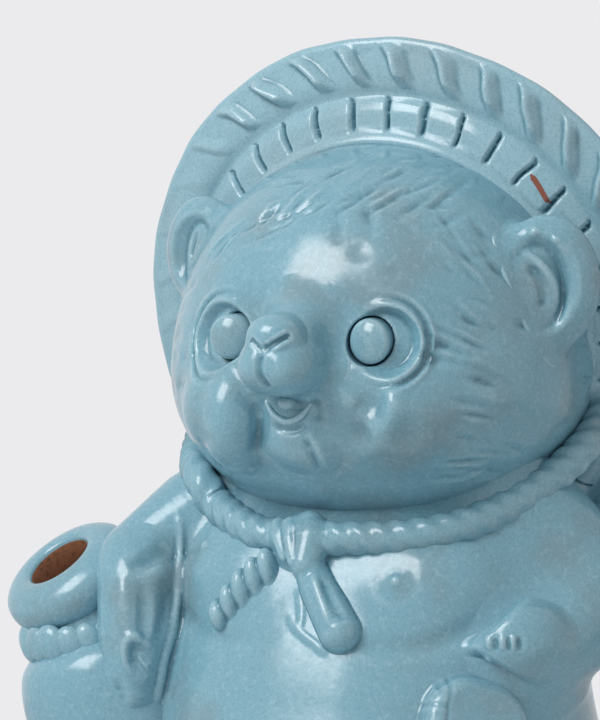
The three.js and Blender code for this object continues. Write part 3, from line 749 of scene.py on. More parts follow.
class Kiln:
    """Fires shaped clay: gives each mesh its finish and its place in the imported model."""

    def __init__(self) -> None:
        """Mixes the finishes."""
        self.glaze = Glaze("satin_blue_glaze").material()
        self.eye_glaze = Glaze("bright_blue_glaze", body="#86B4C3", roughness=0.17).material()
        self.clay = BareClay("bare_red_clay").material()

    def finish_of(self, slot: Slot) -> bpy.types.Material:
        """The finish that a slot of the record takes."""
        return {Slot.GLAZE: self.glaze, Slot.EYE_GLAZE: self.eye_glaze, Slot.BARE_CLAY: self.clay}[slot]

    def fire(
        self, node: str, mesh: bpy.types.Mesh, slot: Slot = Slot.GLAZE, sharp: float = 65.0
    ) -> bpy.types.Object:
        """Makes a finished piece that stands for a CAD node.

        Args:
            node: the CAD node's name.
            mesh: the piece, in place.
            slot: the finish that it takes.
            sharp: the angle in degrees past which an edge isn't shaded smooth.

        Returns:
            The piece.
        """
        mark_folds(mesh)
        mesh.set_sharp_from_angle(angle=math.radians(sharp))
        if not mesh.materials:
            mesh.materials.append(self.finish_of(slot))
        piece = bpy.data.objects.new(f"fired_{node}", mesh)
        bpy.context.scene.collection.objects.link(piece)
        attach(piece, BODY)
        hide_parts(node)
        LOG.info("%s: %d vertices", piece.name, len(mesh.vertices))
        return piece

    def shape(
        self,
        node: str,
        lump: Field,
        box: Box,
        cell: float,
        relief: Sequence[Field] = (),
        slot: Slot = Slot.GLAZE,
    ) -> bpy.types.Object:
        """Sculpts a lump and fires it.

        Args:
            node: the CAD node that it stands for.
            lump: its field.
            box: two corners that it lies between.
            cell: the size of its faces.
            relief: fine marks on it.
            slot: its finish.

        Returns:
            The piece.
        """
        p, quads = sculpt(lump, box, cell, relief)
        return self.fire(node, mesh_of(node, p, quads), slot)


def grown(mesh: bpy.types.ID, tree: bpy.types.NodeTree, values: dict[str, Any]) -> bpy.types.Mesh:
    """Runs a Geometry Nodes tree on a mesh or a curve.

    Args:
        mesh: what goes into the tree.
        tree: the tree.
        values: what its named inputs are set to.

    Returns:
        The result as a plain mesh.
    """
    carrier = bpy.data.objects.new("carrier", mesh)
    bpy.context.scene.collection.objects.link(carrier)
    modifier = carrier.modifiers.new("nodes", "NODES")
    modifier.node_group = tree
    for item in tree.interface.items_tree:
        if item.item_type == "SOCKET" and item.in_out == "INPUT" and item.name in values:
            modifier[item.identifier] = values[item.name]
    bpy.context.view_layer.update()
    evaluated = carrier.evaluated_get(bpy.context.evaluated_depsgraph_get())
    result = bpy.data.meshes.new_from_object(evaluated)
    bpy.data.objects.remove(carrier)
    result.shade_smooth()
    return result


def new_tree(name: str, **inputs: str) -> tuple[bpy.types.NodeTree, Any]:
    """An empty Geometry Nodes tree.

    Args:
        name: its name.
        inputs: the socket type of each named input, whose name is written with a capital in the tree.

    Returns:
        The tree, and the sockets that its inputs come from.
    """
    tree = bpy.data.node_groups.new(name, "GeometryNodeTree")
    tree.interface.new_socket("Geometry", in_out="OUTPUT", socket_type="NodeSocketGeometry")
    tree.interface.new_socket("Geometry", in_out="INPUT", socket_type="NodeSocketGeometry")
    for key, kind in inputs.items():
        tree.interface.new_socket(key.capitalize(), in_out="INPUT", socket_type=f"NodeSocket{kind}")
    return tree, tree.nodes.new("NodeGroupInput").outputs


def finish_tree(
    tree: bpy.types.NodeTree, geometry: bpy.types.NodeSocket, material: bpy.types.NodeSocket
) -> None:
    """Ends a tree in Realize Instances and Set Material.

    Args:
        tree: the tree.
        geometry: what it has made.
        material: what that is dressed in.
    """
    real = add(tree, "GeometryNodeRealizeInstances", {0: geometry})
    dressed = add(tree, "GeometryNodeSetMaterial", {"Geometry": real, "Material": material})
    add(tree, "NodeGroupOutput", {0: dressed})


def pleat_tree() -> bpy.types.NodeTree:
    """Pleats of straw: flat tongues with narrow grooves between them, or plates that climb and then drop.

    The mesh says by its attributes where it goes round (turn), how far the pleats slant there (across), how
    much of a ridge or a groove they have, and which way they stand (lift). Noise makes each pleat differ.

    Returns:
        The tree.
    """
    sizes = {"pleats": "Float", "ridges": "Float", "ridge": "Float", "groove": "Float", "seed": "Float"}
    tree, given = new_tree("straw_pleats", **sizes, material="Material")
    named = {}
    for name in ("turn", "across", "ridge", "groove"):
        named[name] = add(tree, "GeometryNodeInputNamedAttribute", {"Name": name}, data_type="FLOAT")
    lift = add(tree, "GeometryNodeInputNamedAttribute", {"Name": "lift"}, data_type="FLOAT_VECTOR")
    where = add(tree, "GeometryNodeInputPosition")
    grain = {"Vector": where, "W": given["Seed"], "Scale": 70.0, "Detail": 1.0}
    noise = add(tree, "ShaderNodeTexNoise", grain, noise_dimensions="4D")
    wobble = add(tree, "ShaderNodeMath", {0: noise, 1: 0.5, 2: named["across"]}, operation="MULTIPLY_ADD")
    shares = {}
    for count, start in (("Pleats", -0.45), ("Ridges", -0.02)):
        begun = add(tree, "ShaderNodeMath", {0: wobble, 1: start}, operation="ADD")
        place = {0: named["turn"], 1: given[count], 2: begun}
        place = add(tree, "ShaderNodeMath", place, operation="MULTIPLY_ADD")
        shares[count] = add(tree, "ShaderNodeMath", {0: place}, operation="FRACT")
    shapes = {}
    # the share of a pleat's width over which each slope rises from 0 to 1
    for name, count, first, second in (
        ("rise", "Ridges", 0.48, 0.62),
        ("fall", "Ridges", 0.95, 0.64),
        ("left", "Pleats", 0.12, 0.01),
        ("right", "Pleats", 0.91, 1.0),
    ):
        spans = {"Value": shares[count], "From Min": first, "From Max": second}
        shapes[name] = add(tree, "ShaderNodeMapRange", spans, interpolation_type="SMOOTHSTEP")
    crest = shapes["rise"]
    for factor in (shapes["fall"], named["ridge"], given["Ridge"]):
        crest = add(tree, "ShaderNodeMath", {0: crest, 1: factor}, operation="MULTIPLY")
    dip = add(tree, "ShaderNodeMath", {0: shapes["left"], 1: shapes["right"]}, operation="MAXIMUM")
    dip = add(tree, "ShaderNodeMath", {0: shares["Pleats"], 1: -0.45, 2: dip}, operation="MULTIPLY_ADD")
    for factor in (named["groove"], given["Groove"]):
        dip = add(tree, "ShaderNodeMath", {0: dip, 1: factor}, operation="MULTIPLY")
    height = add(tree, "ShaderNodeMath", {0: crest, 1: dip}, operation="SUBTRACT")
    uneven = add(tree, "ShaderNodeMath", {0: noise, 1: 1.2, 2: 0.4}, operation="MULTIPLY_ADD")
    height = add(tree, "ShaderNodeMath", {0: height, 1: uneven}, operation="MULTIPLY")
    offset = add(tree, "ShaderNodeVectorMath", {0: lift, "Scale": height}, operation="SCALE")
    moved = add(tree, "GeometryNodeSetPosition", {"Geometry": given["Geometry"], "Offset": offset})
    finish_tree(tree, moved, given["Material"])
    return tree


def rope_tree() -> bpy.types.NodeTree:
    """Laid rope along a curve: a lobed section that turns as it goes, as thick as the curve's radius.

    Returns:
        The tree.
    """
    tree, given = new_tree("laid_rope", turns="Float", strands="Float", lobe="Float", material="Material")
    full = 2 * math.pi
    along = add(tree, "GeometryNodeSplineParameter", out="Factor")
    turns = add(tree, "ShaderNodeMath", {0: given["Turns"], 1: full}, operation="MULTIPLY")
    tilt = add(tree, "ShaderNodeMath", {0: along, 1: turns}, operation="MULTIPLY")
    twisted = add(tree, "GeometryNodeSetCurveTilt", {"Curve": given["Geometry"], "Tilt": tilt})
    section = add(tree, "GeometryNodeCurvePrimitiveCircle", {"Resolution": 36, "Radius": 1.0})
    round_it = add(tree, "GeometryNodeSplineParameter", out="Factor")
    lobes = add(tree, "ShaderNodeMath", {0: given["Strands"], 1: full}, operation="MULTIPLY")
    phase = add(tree, "ShaderNodeMath", {0: round_it, 1: lobes}, operation="MULTIPLY")
    wave = add(tree, "ShaderNodeMath", {0: phase}, operation="COSINE")
    swell = add(tree, "ShaderNodeMath", {0: wave, 1: given["Lobe"]}, operation="MULTIPLY")
    where = add(tree, "GeometryNodeInputPosition")
    offset = add(tree, "ShaderNodeVectorMath", {0: where, "Scale": swell}, operation="SCALE")
    lobed = add(tree, "GeometryNodeSetPosition", {"Geometry": section, "Offset": offset})
    radius = add(tree, "GeometryNodeInputRadius")
    laid = {"Curve": twisted, "Profile Curve": lobed, "Scale": radius, "Fill Caps": True}
    finish_tree(tree, add(tree, "GeometryNodeCurveToMesh", laid), given["Material"])
    return tree


def lashing_tree() -> bpy.types.NodeTree:
    """Loops of cord round a neck: one lump for each loop, standing on a circle.

    Returns:
        The tree.
    """
    sizes = {"loops": "Int", "radius": "Float", "lump": "Vector", "lean": "Float", "seed": "Int"}
    tree, given = new_tree("lashing", **sizes, material="Material")
    points = add(tree, "GeometryNodeMeshCircle", {"Vertices": given["Loops"], "Radius": given["Radius"]})
    ball = add(tree, "GeometryNodeMeshUVSphere", {"Segments": 24, "Rings": 14, "Radius": 1.0})
    where = add(tree, "GeometryNodeInputPosition")
    aim = add(tree, "FunctionNodeAlignRotationToVector", {"Vector": where}, axis="X")
    uneven = {"Min": (0.85, 0.9, 0.86), "Max": (1.1, 1.25, 1.08), "Seed": given["Seed"]}
    uneven = add(tree, "FunctionNodeRandomValue", uneven, data_type="FLOAT_VECTOR")
    size = add(tree, "ShaderNodeVectorMath", {0: given["Lump"], 1: uneven}, operation="MULTIPLY")
    lean = add(tree, "ShaderNodeCombineXYZ", {"X": given["Lean"]})
    leaned = {"Rotation": aim, "Rotate By": lean}
    aim = add(tree, "FunctionNodeRotateRotation", leaned, rotation_space="LOCAL")
    placed = {"Points": points, "Instance": ball, "Rotation": aim, "Scale": size}
    finish_tree(tree, add(tree, "GeometryNodeInstanceOnPoints", placed), given["Material"])
    return tree


def rope_curve(line: Array, radii: Array) -> bpy.types.Curve:
    """A curve for rope to follow.

    Args:
        line: its places in millimetres.
        radii: the rope's radius at each place.

    Returns:
        The curve.
    """
    curve = bpy.data.curves.new("rope_line", "CURVE")
    curve.dimensions = "3D"
    spline = curve.splines.new("POLY")
    spline.points.add(len(line) - 1)
    places = np.column_stack([line * MM, np.ones(len(line))]).astype(np.float32)
    spline.points.foreach_set("co", places.ravel())
    spline.points.foreach_set("radius", (radii * MM).astype(np.float32))
    return curve


# The figure's sub-assemblies


@dataclass(frozen=True)
class View:
    """The photograph's line of sight, from the figure's left front and a little above."""

    azimuth: float = 27.0
    elevation: float = 4.0
    aim: Point = (-19.4, -10.4, 162.1)
    lens: float = 320.0
    sensor: float = 36.0
    frame: float = 184.3
    pixels: tuple[int, int] = (600, 720)
    # a line of sight is followed from this far before the aim to this far past it, in careful strides
    near: float = 140.0
    far: float = 90.0
    stride: float = 0.8
    strides: int = 90

    @property
    def distance(self) -> float:
        """From the camera to the place that it aims at."""
        return self.lens * self.frame / self.sensor

    def axes(self) -> Array:
        """The camera's own directions.

        Returns:
            Right, up and backward as columns.
        """
        a, e = math.radians(self.azimuth), math.radians(self.elevation)
        back = np.array([math.sin(a) * math.cos(e), -math.cos(a) * math.cos(e), math.sin(e)])
        right = np.array([math.cos(a), math.sin(a), 0.0])
        return np.column_stack([right, np.cross(back, right), back])

    def onto(self, lump: Field, places: Sequence[Pixel], lift: float = 0.0) -> Array:
        """Where lines of sight first meet a lump.

        Args:
            lump: the lump.
            places: the pixels that the lines of sight pass through.
            lift: how far toward the camera the result is moved.

        Returns:
            One place a row, on the lump.
        """
        axes = self.axes()
        from_middle = np.asarray(places, float) - np.array(self.pixels) / 2
        across, down = (from_middle * self.frame / self.pixels[1]).T
        camera = np.array(self.aim) + axes[:, 2] * self.distance
        rays = np.column_stack([across, -down, np.full(len(across), -self.distance)]) @ axes.T
        rays /= np.linalg.norm(rays, axis=1)[:, None]
        reach = np.full(len(rays), self.distance - self.near)
        for _ in range(self.strides):
            step = lump((camera + rays * reach[:, None]).astype(np.float32))
            reach = np.minimum(reach + self.stride * step, self.distance + self.far)
        return camera + rays * (reach - lift)[:, None]


VIEW = View()


@dataclass(frozen=True)
class Stroke:
    """A line that the photograph shows, pressed into the clay, or raised where its depth is below 0."""

    pixels: Sequence[Pixel]
    depth: float
    width: float
    taper: float = 0.25

    def on(self, lump: Field) -> Field:
        """What it takes away where it lies on a lump."""
        return groove(VIEW.onto(lump, self.pixels), self.depth, self.width, self.taper)


def tapered(taper: float, *rows: tuple[Sequence[Pixel], float, float]) -> tuple[Stroke, ...]:
    """Strokes of one taper from rows of pixels, depth and width."""
    return tuple(Stroke(*row, taper) for row in rows)


def pressed(lump: Field, strokes: Sequence[Stroke]) -> list[Field]:
    """What each stroke takes away where it lies on a lump."""
    return [stroke.on(lump) for stroke in strokes]


@dataclass(frozen=True)
class Comb:
    """How hair is drawn: how far a stroke bows in pixels, and its possible depths and half widths."""

    bow: float
    depths: tuple[float, ...]
    widths: tuple[float, float]
    taper: float = 0.45

    def stroke(self, rng: np.random.Generator, at: Pixel, turn: float, size: float) -> Stroke:
        """Draws one stroke of hair.

        Args:
            rng: where its depth and width come from.
            at: its middle.
            turn: the angle in degrees by which it falls to the right.
            size: half its length in pixels.

        Returns:
            The stroke.
        """
        x, y = at
        aside, drop = size * math.cos(math.radians(turn)), size * math.sin(math.radians(turn))
        places = [(x - aside, y - drop), (x, y + self.bow), (x + aside, y + drop)]
        depth = rng.choice(self.depths)
        return Stroke(places, depth, rng.uniform(*self.widths), self.taper)


@dataclass
class Torso:
    """The round body: a front and a back half and the slab that it stands on."""

    # height, half width, half depth, forward
    levels: tuple[tuple[float, float, float, float], ...] = (
        (-6, 40, 34, 0), (0, 46, 40, 0), (20, 59, 50.5, 2), (50, 62, 55, 6), (80, 57, 47, 6),
        (110, 53.5, 37, 4), (130, 46, 27.5, 2), (140, 35, 21, 0), (143, 0, 0, 0),
    )
    breast_at: Point = (23.0, -22.5, 107.0)
    breast_radii: Point = (21.0, 17.0, 14.5)
    nipples_at: tuple[Point, Point] = ((-34.7, -33.6, 115.9), (22.7, -40.9, 110.1))
    # the crease under the left breast
    crease: tuple[Point, ...] = (
        (9.0, -47.0, 94.6), (25.0, -43.5, 93.6), (35.0, -39.0, 95.2), (42.5, -31.5, 100.5),
    )
    # the loose thread behind the cord's long tail
    thread: tuple[Stroke, ...] = (
        Stroke([(299, 588), (302, 611), (300, 631)], -0.8, 0.8),
        Stroke([(288, 616), (300, 631), (316, 644), (328, 655)], -0.8, 0.8),
    )
    slab: float = 6.0
    cell: float = 0.68
    front_box: Box = ((-66.0, -66.0, -2.0), (66.0, 3.0, 144.0))
    back_box: Box = ((-66.0, -3.0, -2.0), (66.0, 54.0, 144.0))
    slab_box: Box = ((-62.0, -60.0, -2.0), (62.0, 56.0, 8.0))

    def table(self) -> Array:
        """The levels, with many smooth steps between them."""
        return through(self.levels, 400)

    def place(self, height: float, azimuth: float) -> Array:
        """A place on the body's surface.

        Args:
            height: how high it is.
            azimuth: how far it is turned, in degrees, from the front to the figure's left.

        Returns:
            The place.
        """
        table = self.table()
        wide, deep, forward = (np.interp(height, table[:, 0], table[:, k]) for k in (1, 2, 3))
        turn = math.radians(azimuth)
        return np.array([wide * math.sin(turn), -forward - deep * math.cos(turn), height])

    def bare(self) -> Field:
        """The body before it is carved: an oval at every level.

        Returns:
            Its distance field.
        """
        z, wide, deep, forward = self.table().T
        lean = 1 / np.sqrt(1 + np.gradient((wide + deep) / 2, z) ** 2)

        def distance(p: Array) -> Array:
            h = p[:, 2]
            half = [np.maximum(np.interp(h, z, radius), 2.0) for radius in (wide, deep)]
            r = np.stack(half, 1)
            q = np.stack([p[:, 0], p[:, 1] + np.interp(h, z, forward)], 1)
            k = length(q / r)
            d = k * (k - 1) / np.maximum(length(q / (r * r)), TINY) * np.interp(h, z, lean)
            return np.maximum(d, h - 142.0).astype(np.float32)

        return distance

    def form(self) -> Field:
        """The body with its breasts, nipples and creases.

        Returns:
            Its distance field.
        """
        breasts = [egg(mirrored(self.breast_at, side), self.breast_radii) for side in Side]
        form = joined(8.0, self.bare(), *breasts)
        cuts: list[Field] = []
        for side, nipple in zip(Side, self.nipples_at):
            cuts += [dimple(nipple, 1.3, -1.1), ring(nipple, 4.6, 1.8, 0.3)]
            crease = [mirrored(place, side) for place in self.crease]
            cuts.append(groove(crease, 1.5, 2.4, 0.3))
        return carved(form, cuts + pressed(form, self.thread))

    def build(self, kiln: Kiln) -> None:
        """Makes the two halves and the slab.

        Args:
            kiln: what finishes and places them.
        """
        form = self.form()
        rim = beyond((0, 0, self.slab + 0.2), DOWN)
        front = within(form, rim, beyond((0, 1.2, 0), BACKWARD))
        kiln.shape("torso_front_shell", front, self.front_box, self.cell)
        back = within(form, rim, beyond((0, -1.2, 0), FORWARD))
        kiln.shape("torso_back_shell", back, self.back_box, self.cell)
        sole = within(form, beyond((0, 0, self.slab), UP), beyond((0, 0, 0), DOWN))
        vent = limb([(0, 22.0, -9), (0, 22.0, 12)], [8.0] * 2, 2)
        sole = without(sole, vent, egg((0, 0, -8.5), (38, 32, 10)), soft=1.0)
        kiln.shape("base_slab", sole, self.slab_box, 0.9, slot=Slot.BARE_CLAY)


def between(values: Array, first: float, rise: float, last: float, fall: float) -> Array:
    """1 between the limits `first` and `last`, sloping to 0 over the widths `rise` and `fall` inside them."""
    return np.clip((values - first) / rise, 0, 1) * np.clip((last - values) / fall, 0, 1)


@dataclass
class Hat:
    """The straw hat on the back of the head: a brim of two pleated bands, and the cone behind it."""

    centre: Point = (0.0, 8.6, 168.0)
    tilt: float = 15.4
    radius: float = 75.4
    depth: float = 51.0
    rim_back: float = 11.6
    brim: float = 16.8
    # radius and place behind the hat's front: where the head ends, the inner band's edge, the trough and
    # the outer band
    face: tuple[Outline, ...] = ((52.0, 1.4), (60.6, 3.3), (62.4, 5.9), (68.5, 6.3), (75.4, 8.7))
    # the brim's outline as radius and height: bead, inner band, its edge, outer band, rim and back
    outline: tuple[tuple[Outline, ...], ...] = (
        ((40.0, 3.4), (47.8, 2.9), (49.6, 1.2), (51.0, -0.7), (52.2, -1.2), (53.4, -0.5), (54.8, 1.5)),
        ((56.2, 2.2), (57.7, 2.7), (59.2, 3.3), (60.3, 4.0)),
        ((61.2, 4.9), (62.2, 5.7), (63.0, 6.0), (64.0, 5.9)),
        ((65.4, 5.7), (67.4, 6.0), (69.4, 6.6), (71.4, 7.4), (73.2, 8.2)),
        ((74.6, 8.5), (75.8, 9.0), (76.5, 10.0), (76.2, 11.0), (75.2, 11.7)),
        ((72.5, 13.1), (69.0, 14.9), (65.2, 16.8), (40.0, 16.8)),
    )
    # how far out on the figure's left, as a share, and how much of the ridges is left there
    fade: tuple[tuple[float, float], ...] = ((-0.85, 0.1), (-0.72, 0.35), (-0.6, 0.75), (-0.5, 1.0))
    pleats: int = 36
    ridges: int = 34
    steps_per_pleat: int = 24
    chip_line: tuple[Pixel, ...] = ((530.0, 174.5), (537.0, 183.0), (544.0, 193.5), (550.0, 203.5))

    @property
    def turn(self) -> Array:
        """The hat's axes as columns: across, backwards along its axis, and up."""
        t = math.radians(self.tilt)
        return np.array([[1, 0, 0], [0, math.cos(t), -math.sin(t)], [0, math.sin(t), math.cos(t)]])

    def placed(self, local: Array) -> Array:
        """Places of the hat's own frame in the figure's frame."""
        return local @ self.turn.T + np.array(self.centre)

    def front(self, depth: float) -> Field:
        """All that lies in front of a plane across the hat, `depth` behind its front."""
        return beyond(self.placed(np.array([[0, depth, 0]]))[0], self.turn[:, 1])

    def solid(self) -> Field:
        """The hat's outside, filled in, as its neighbours meet it.

        Returns:
            Its distance field.
        """
        origin, turn = np.float32(self.centre), np.float32(self.turn)
        slope = self.radius / (self.depth - self.rim_back)
        lean = 1 / math.hypot(1, slope)
        radii, levels = np.array(self.face).T

        def distance(p: Array) -> Array:
            q = (p - origin) @ turn
            out = np.hypot(q[:, 0], q[:, 2])
            cone = (out - self.radius + slope * (q[:, 1] - self.rim_back)) * lean
            front = np.interp(out, radii, levels) - q[:, 1]
            return np.maximum(np.maximum(cone, out - self.radius - 0.8), front)

        return distance

    def brim_profile(self) -> tuple[Array, dict[str, Array]]:
        """The brim's rounded outline.

        Returns:
            The outline, and by corner how far it has ridges or grooves and lies across its band.
        """
        line = np.vstack(self.outline)
        spans = zip(line, np.roll(line, -1, 0))
        fine = np.vstack([np.linspace(a, b, 5, endpoint=False) for a, b in spans])
        for _ in range(9):
            fine = 0.5 * fine + 0.25 * (np.roll(fine, 1, 0) + np.roll(fine, -1, 0))
        radius, height = fine.T
        facing = height < 10.0
        grooves = facing * between(radius, 54.2, 1.2, 62.6, 1.5)
        ridges = facing * between(radius, 64.8, 3.0, 75.2, 2.4)
        across = np.maximum(radius - 61.5, 0) / 17.0
        return fine, {"groove": grooves, "ridge": ridges, "across": across}

    def straw(self, profile: Array, marks: dict[str, Array], lift: float) -> bpy.types.Mesh:
        """A turned mesh that carries what its pleats need.

        Args:
            profile: its closed outline.
            marks: what each corner of the outline is given, by name.
            lift: 1 where the pleats stand backwards, and -1 where they stand forward.

        Returns:
            The mesh, in place.
        """
        sides = self.pleats * self.steps_per_pleat
        p, quads = turned(profile, sides)
        p = self.waved(p)
        mesh = mesh_of("straw", self.placed(p), quads)
        out = p * np.array([1, 0, 1])
        out /= np.maximum(length(out), TINY)[:, None]
        left = out[:, 0]
        values = {name: np.tile(mark, sides) for name, mark in marks.items()}
        # the potter's hand turned as the pleats were pressed: they slant more on the figure's left
        values["across"] = values["across"] * (1.0 + 0.15 * left + 0.4 * np.maximum(left, 0) ** 2)
        # and they fade out by the right ear, where the brim was smoothed over
        values["ridge"] = values["ridge"] * np.interp(left, *np.array(self.fade).T)
        values["turn"] = np.repeat(np.arange(sides) / sides, len(profile))
        # painted light: the whole brim and cone are marked to be painted paler, for light that the hat's face
        # does not get
        values["thin"] = np.ones(len(p))
        for name, value in values.items():
            mesh.attributes.new(name, "FLOAT", "POINT").data.foreach_set("value", value.astype(np.float32))
        local = np.array([0, lift, 0]) + 0.35 * out
        stored = mesh.attributes.new("lift", "FLOAT_VECTOR", "POINT")
        stored.data.foreach_set("vector", (local @ self.turn.T).astype(np.float32).ravel())
        return mesh

    def waved(self, p: Array) -> Array:
        """Sets the brim's edge a little out of round, as clay that was pressed by hand.

        Args:
            p: places of the brim in the hat's own frame.

        Returns:
            The places, moved.
        """
        angle = np.arctan2(p[:, 0], p[:, 2])
        grown_by = 0.45 + 0.3 * np.sin(angle - math.radians(5.0))
        ripple = 0.16 * np.sin(13 * angle) + 0.08 * np.sin(34 * angle)
        out = np.hypot(p[:, 0], p[:, 2])
        share = np.clip((out - 64) / 10, 0, 1) * (grown_by + ripple) / np.maximum(out, 1)
        return p * np.column_stack([1 + share, np.ones(len(p)), 1 + share])

    def chip(self, mesh: bpy.types.Mesh) -> None:
        """Marks the line along the inner band's edge where the glaze has chipped off.

        Args:
            mesh: the brim.
        """
        p = np.empty(len(mesh.vertices) * 3, np.float32)
        mesh.vertices.foreach_get("co", p)
        line = through(VIEW.onto(self.solid(), self.chip_line), 12)
        centre, flat = np.array(self.centre), np.array([1, 0, 1])
        seen = [(q - centre) @ self.turn * flat for q in (p.reshape(-1, 3) / MM, line)]
        away, share = line_distance(*seen)
        width = 0.6 * np.clip(np.minimum(share, 1 - share) * 8, 0.3, 1)
        mark = mesh.attributes.new("chip", "FLOAT", "POINT")
        mark.data.foreach_set("value", np.clip(1.5 - away / width, 0, 1).astype(np.float32))

    def crown_profile(self) -> tuple[Array, dict[str, Array]]:
        """The cone's outline, with its rows of straw.

        Returns:
            The outline, and by corner how far it has grooves and lies across the cone.
        """
        share = np.linspace(0, 1, 46)
        rows = 0.7 * np.abs(np.sin(share * math.pi * 4)) ** 0.5
        radius = 64.9 * (1 - share) + 0.6
        bulge = 2.2 * np.sin(share * math.pi)
        height = self.brim - 0.1 + (self.depth - self.brim) * share + bulge + rows
        under = [(out, self.brim + 0.2) for out in (0.6, 30.0, 63.0)]
        profile = np.vstack([under, np.column_stack([radius, height])])
        pleated = np.concatenate([np.zeros(len(under)), np.clip((radius - 8) / 20, 0, 1)])
        return profile, {"groove": pleated, "ridge": 0 * pleated, "across": profile[:, 0] / 66}

    def build(self, kiln: Kiln) -> None:
        """Makes the brim and the cone.

        Args:
            kiln: what finishes and places them.
        """
        tree = pleat_tree()
        values = {"Pleats": float(self.pleats), "Ridges": float(self.ridges), "Seed": 3.0}
        values["Material"] = kiln.glaze
        sizes = {"Ridge": 2.5 * MM, "Groove": 1.4 * MM}
        brim = grown(self.straw(*self.brim_profile(), -1.0), tree, values | sizes)
        self.chip(brim)
        kiln.fire("hat_brim", brim, sharp=80.0)
        sizes = {"Ridge": 0.0, "Groove": 0.9 * MM}
        crown = grown(self.straw(*self.crown_profile(), 1.0), tree, values | sizes)
        kiln.fire("hat_crown", crown, sharp=80.0)


@dataclass
class Head:
    """The head: skull, jowls, eyes, muzzle, mouth and ears."""

    skull_at: Point = (0.0, 0.0, 169.0)
    skull_radii: Point = (53.5, 50.0, 49.0)
    jowl_at: Point = (0.0, -3.0, 157.0)
    jowl_radii: Point = (53.5, 50.0, 37.0)
    cheek_at: Point = (23.0, -36.5, 151.5)
    cheek_radii: Point = (14.0, 16.5, 13.5)
    smile_at: Point = (-19.2, -41.6, 150.5)
    smile_radii: Point = (10.0, 14.6, 15.0)
    eyes_at: tuple[Point, Point] = ((-24.4, -46.6, 170.2), (23.0, -47.2, 170.2))
    # radius, half width and height of an eye's outer folds, and the power by which they fade to the nose
    lid_folds: tuple[tuple[float, float, float, int], ...] = ((11.0, 0.8, -0.45, 1), (12.2, 0.9, 0.5, 2))
    pupils_at: tuple[Point, Point] = ((-20.8, -49.0, 170.2), (19.0, -49.2, 170.2))
    pupil_half: tuple[float, float] = (5.5, 5.75)
    pupil_yaw: float = 12.0
    pupil_gap: float = 0.5
    snout_at: Point = (0.0, -53.2, 166.0)
    snout_radii: Point = (10.4, 15.2, 9.8)
    # place, radius and depth of the hollows between the snout and the left eye
    hollows: tuple[tuple[Point, float, float], ...] = (
        ((15.0, -50.5, 176.5), 6.0, 2.8),
        ((12.8, -51.4, 170.0), 5.0, 2.6),
    )
    pad_at: Point = (3.9, -60.6, 163.9)
    pad_radii: Point = (5.9, 8.4, 6.0)
    nose_at: Point = (0.0, -62.4, 172.6)
    nose_radii: Point = (6.4, 5.6, 4.4)
    chin_at: Point = (0.8, -46.0, 143.6)
    chin_radii: Point = (8.4, 5.4, 5.2)
    mouth: tuple[Pixel, ...] = ((266, 402), (273.5, 415), (284, 421.5), (292, 421.5), (301, 416), (311, 404))
    # the cheek's fold, the mouth, its other corner and the left cheek
    face_lines: tuple[Stroke, ...] = (
        Stroke([(253, 389), (258, 404), (261, 418), (259, 436), (252, 455)], 3.4, 1.8),
        Stroke([(267, 400), (288, 405), (310, 401)], 1.6, 2.6),
        Stroke([(314, 397), (318, 411), (316, 425)], 1.2, 1.5),
        Stroke([(325, 380), (341, 393), (358, 407)], -2.0, 2.0),
    )
    # pixel, radius and depth of the cheeks' and the brow's dimples and bumps
    dimples: tuple[tuple[Pixel, float, float], ...] = (
        ((373, 405), 3.6, 3.2), ((391, 402), 3.6, -1.6), ((345, 398), 4.0, -1.0),
        ((357, 434), 3.2, 2.8), ((408, 436), 3.8, 2.4), ((205, 418), 2.4, 0.6),
        ((207, 439), 2.6, 0.7), ((360, 252), 2.8, 0.4), ((396, 272), 2.2, 0.4),
    )
    # the incised lines under the nose, from both nostrils to the mouth, and the edges beside them
    partings: tuple[Stroke, ...] = tapered(
        0.15,
        ([(262, 350), (259, 367), (262, 379), (271, 389)], 1.2, 0.8),
        ([(262, 351), (276, 342), (291, 334)], 1.2, 0.85),
        ([(262, 351), (256, 345), (251, 339)], 0.9, 0.8),
        ([(265, 345), (277, 337), (289, 330)], -0.5, 0.7),
        ([(271, 351), (281, 345), (290, 340)], -0.4, 0.7),
    )
    # below the mouth; the last one is the fold beside it, which the muzzle shares
    chin_lines: tuple[Stroke, ...] = (
        Stroke([(305, 428), (316, 446), (331, 472)], -0.9, 1.7, 0.45),
        Stroke([(303, 438), (311, 452), (322, 472)], 0.9, 1.5, 0.3),
        Stroke([(270, 425), (288, 430), (308, 425)], 1.2, 1.2),
        Stroke([(256, 400), (260, 416), (259, 434), (253, 452)], 2.0, 1.5),
    )
    # bundles of hair along the hairline
    hairline: tuple[Stroke, ...] = tapered(
        0.35,
        ([(205, 262), (214, 248), (232, 230), (250, 215)], -0.7, 0.75),
        ([(212, 262), (222, 248), (238, 231)], 0.6, 0.8),
        ([(220, 258), (230, 243), (243, 228)], -0.5, 0.7),
        ([(252, 230), (263, 214), (278, 197)], -0.6, 0.75),
        ([(257, 231), (268, 216), (282, 201)], 0.6, 0.75),
        ([(274, 222), (288, 206), (304, 190)], -0.6, 0.75),
        ([(279, 224), (293, 209), (309, 194)], 0.6, 0.75),
        ([(300, 209), (312, 199), (324, 190)], -0.5, 0.7),
        ([(380, 181), (397, 173), (412, 168)], 0.9, 1.2),
        ([(388, 198), (418, 187), (448, 177)], 0.9, 1.3),
        ([(424, 208), (438, 205), (452, 204)], 0.6, 1.1),
        ([(380, 206), (405, 226), (431, 249)], 0.3, 1.2),
    )
    # pixels along the brim
    brim_line: tuple[Pixel, ...] = ((256, 212), (300, 178), (340, 160), (400, 162), (450, 178))
    brim_comb: Comb = Comb(2.0, (-0.35, 0.45, 0.6), (0.9, 1.3))
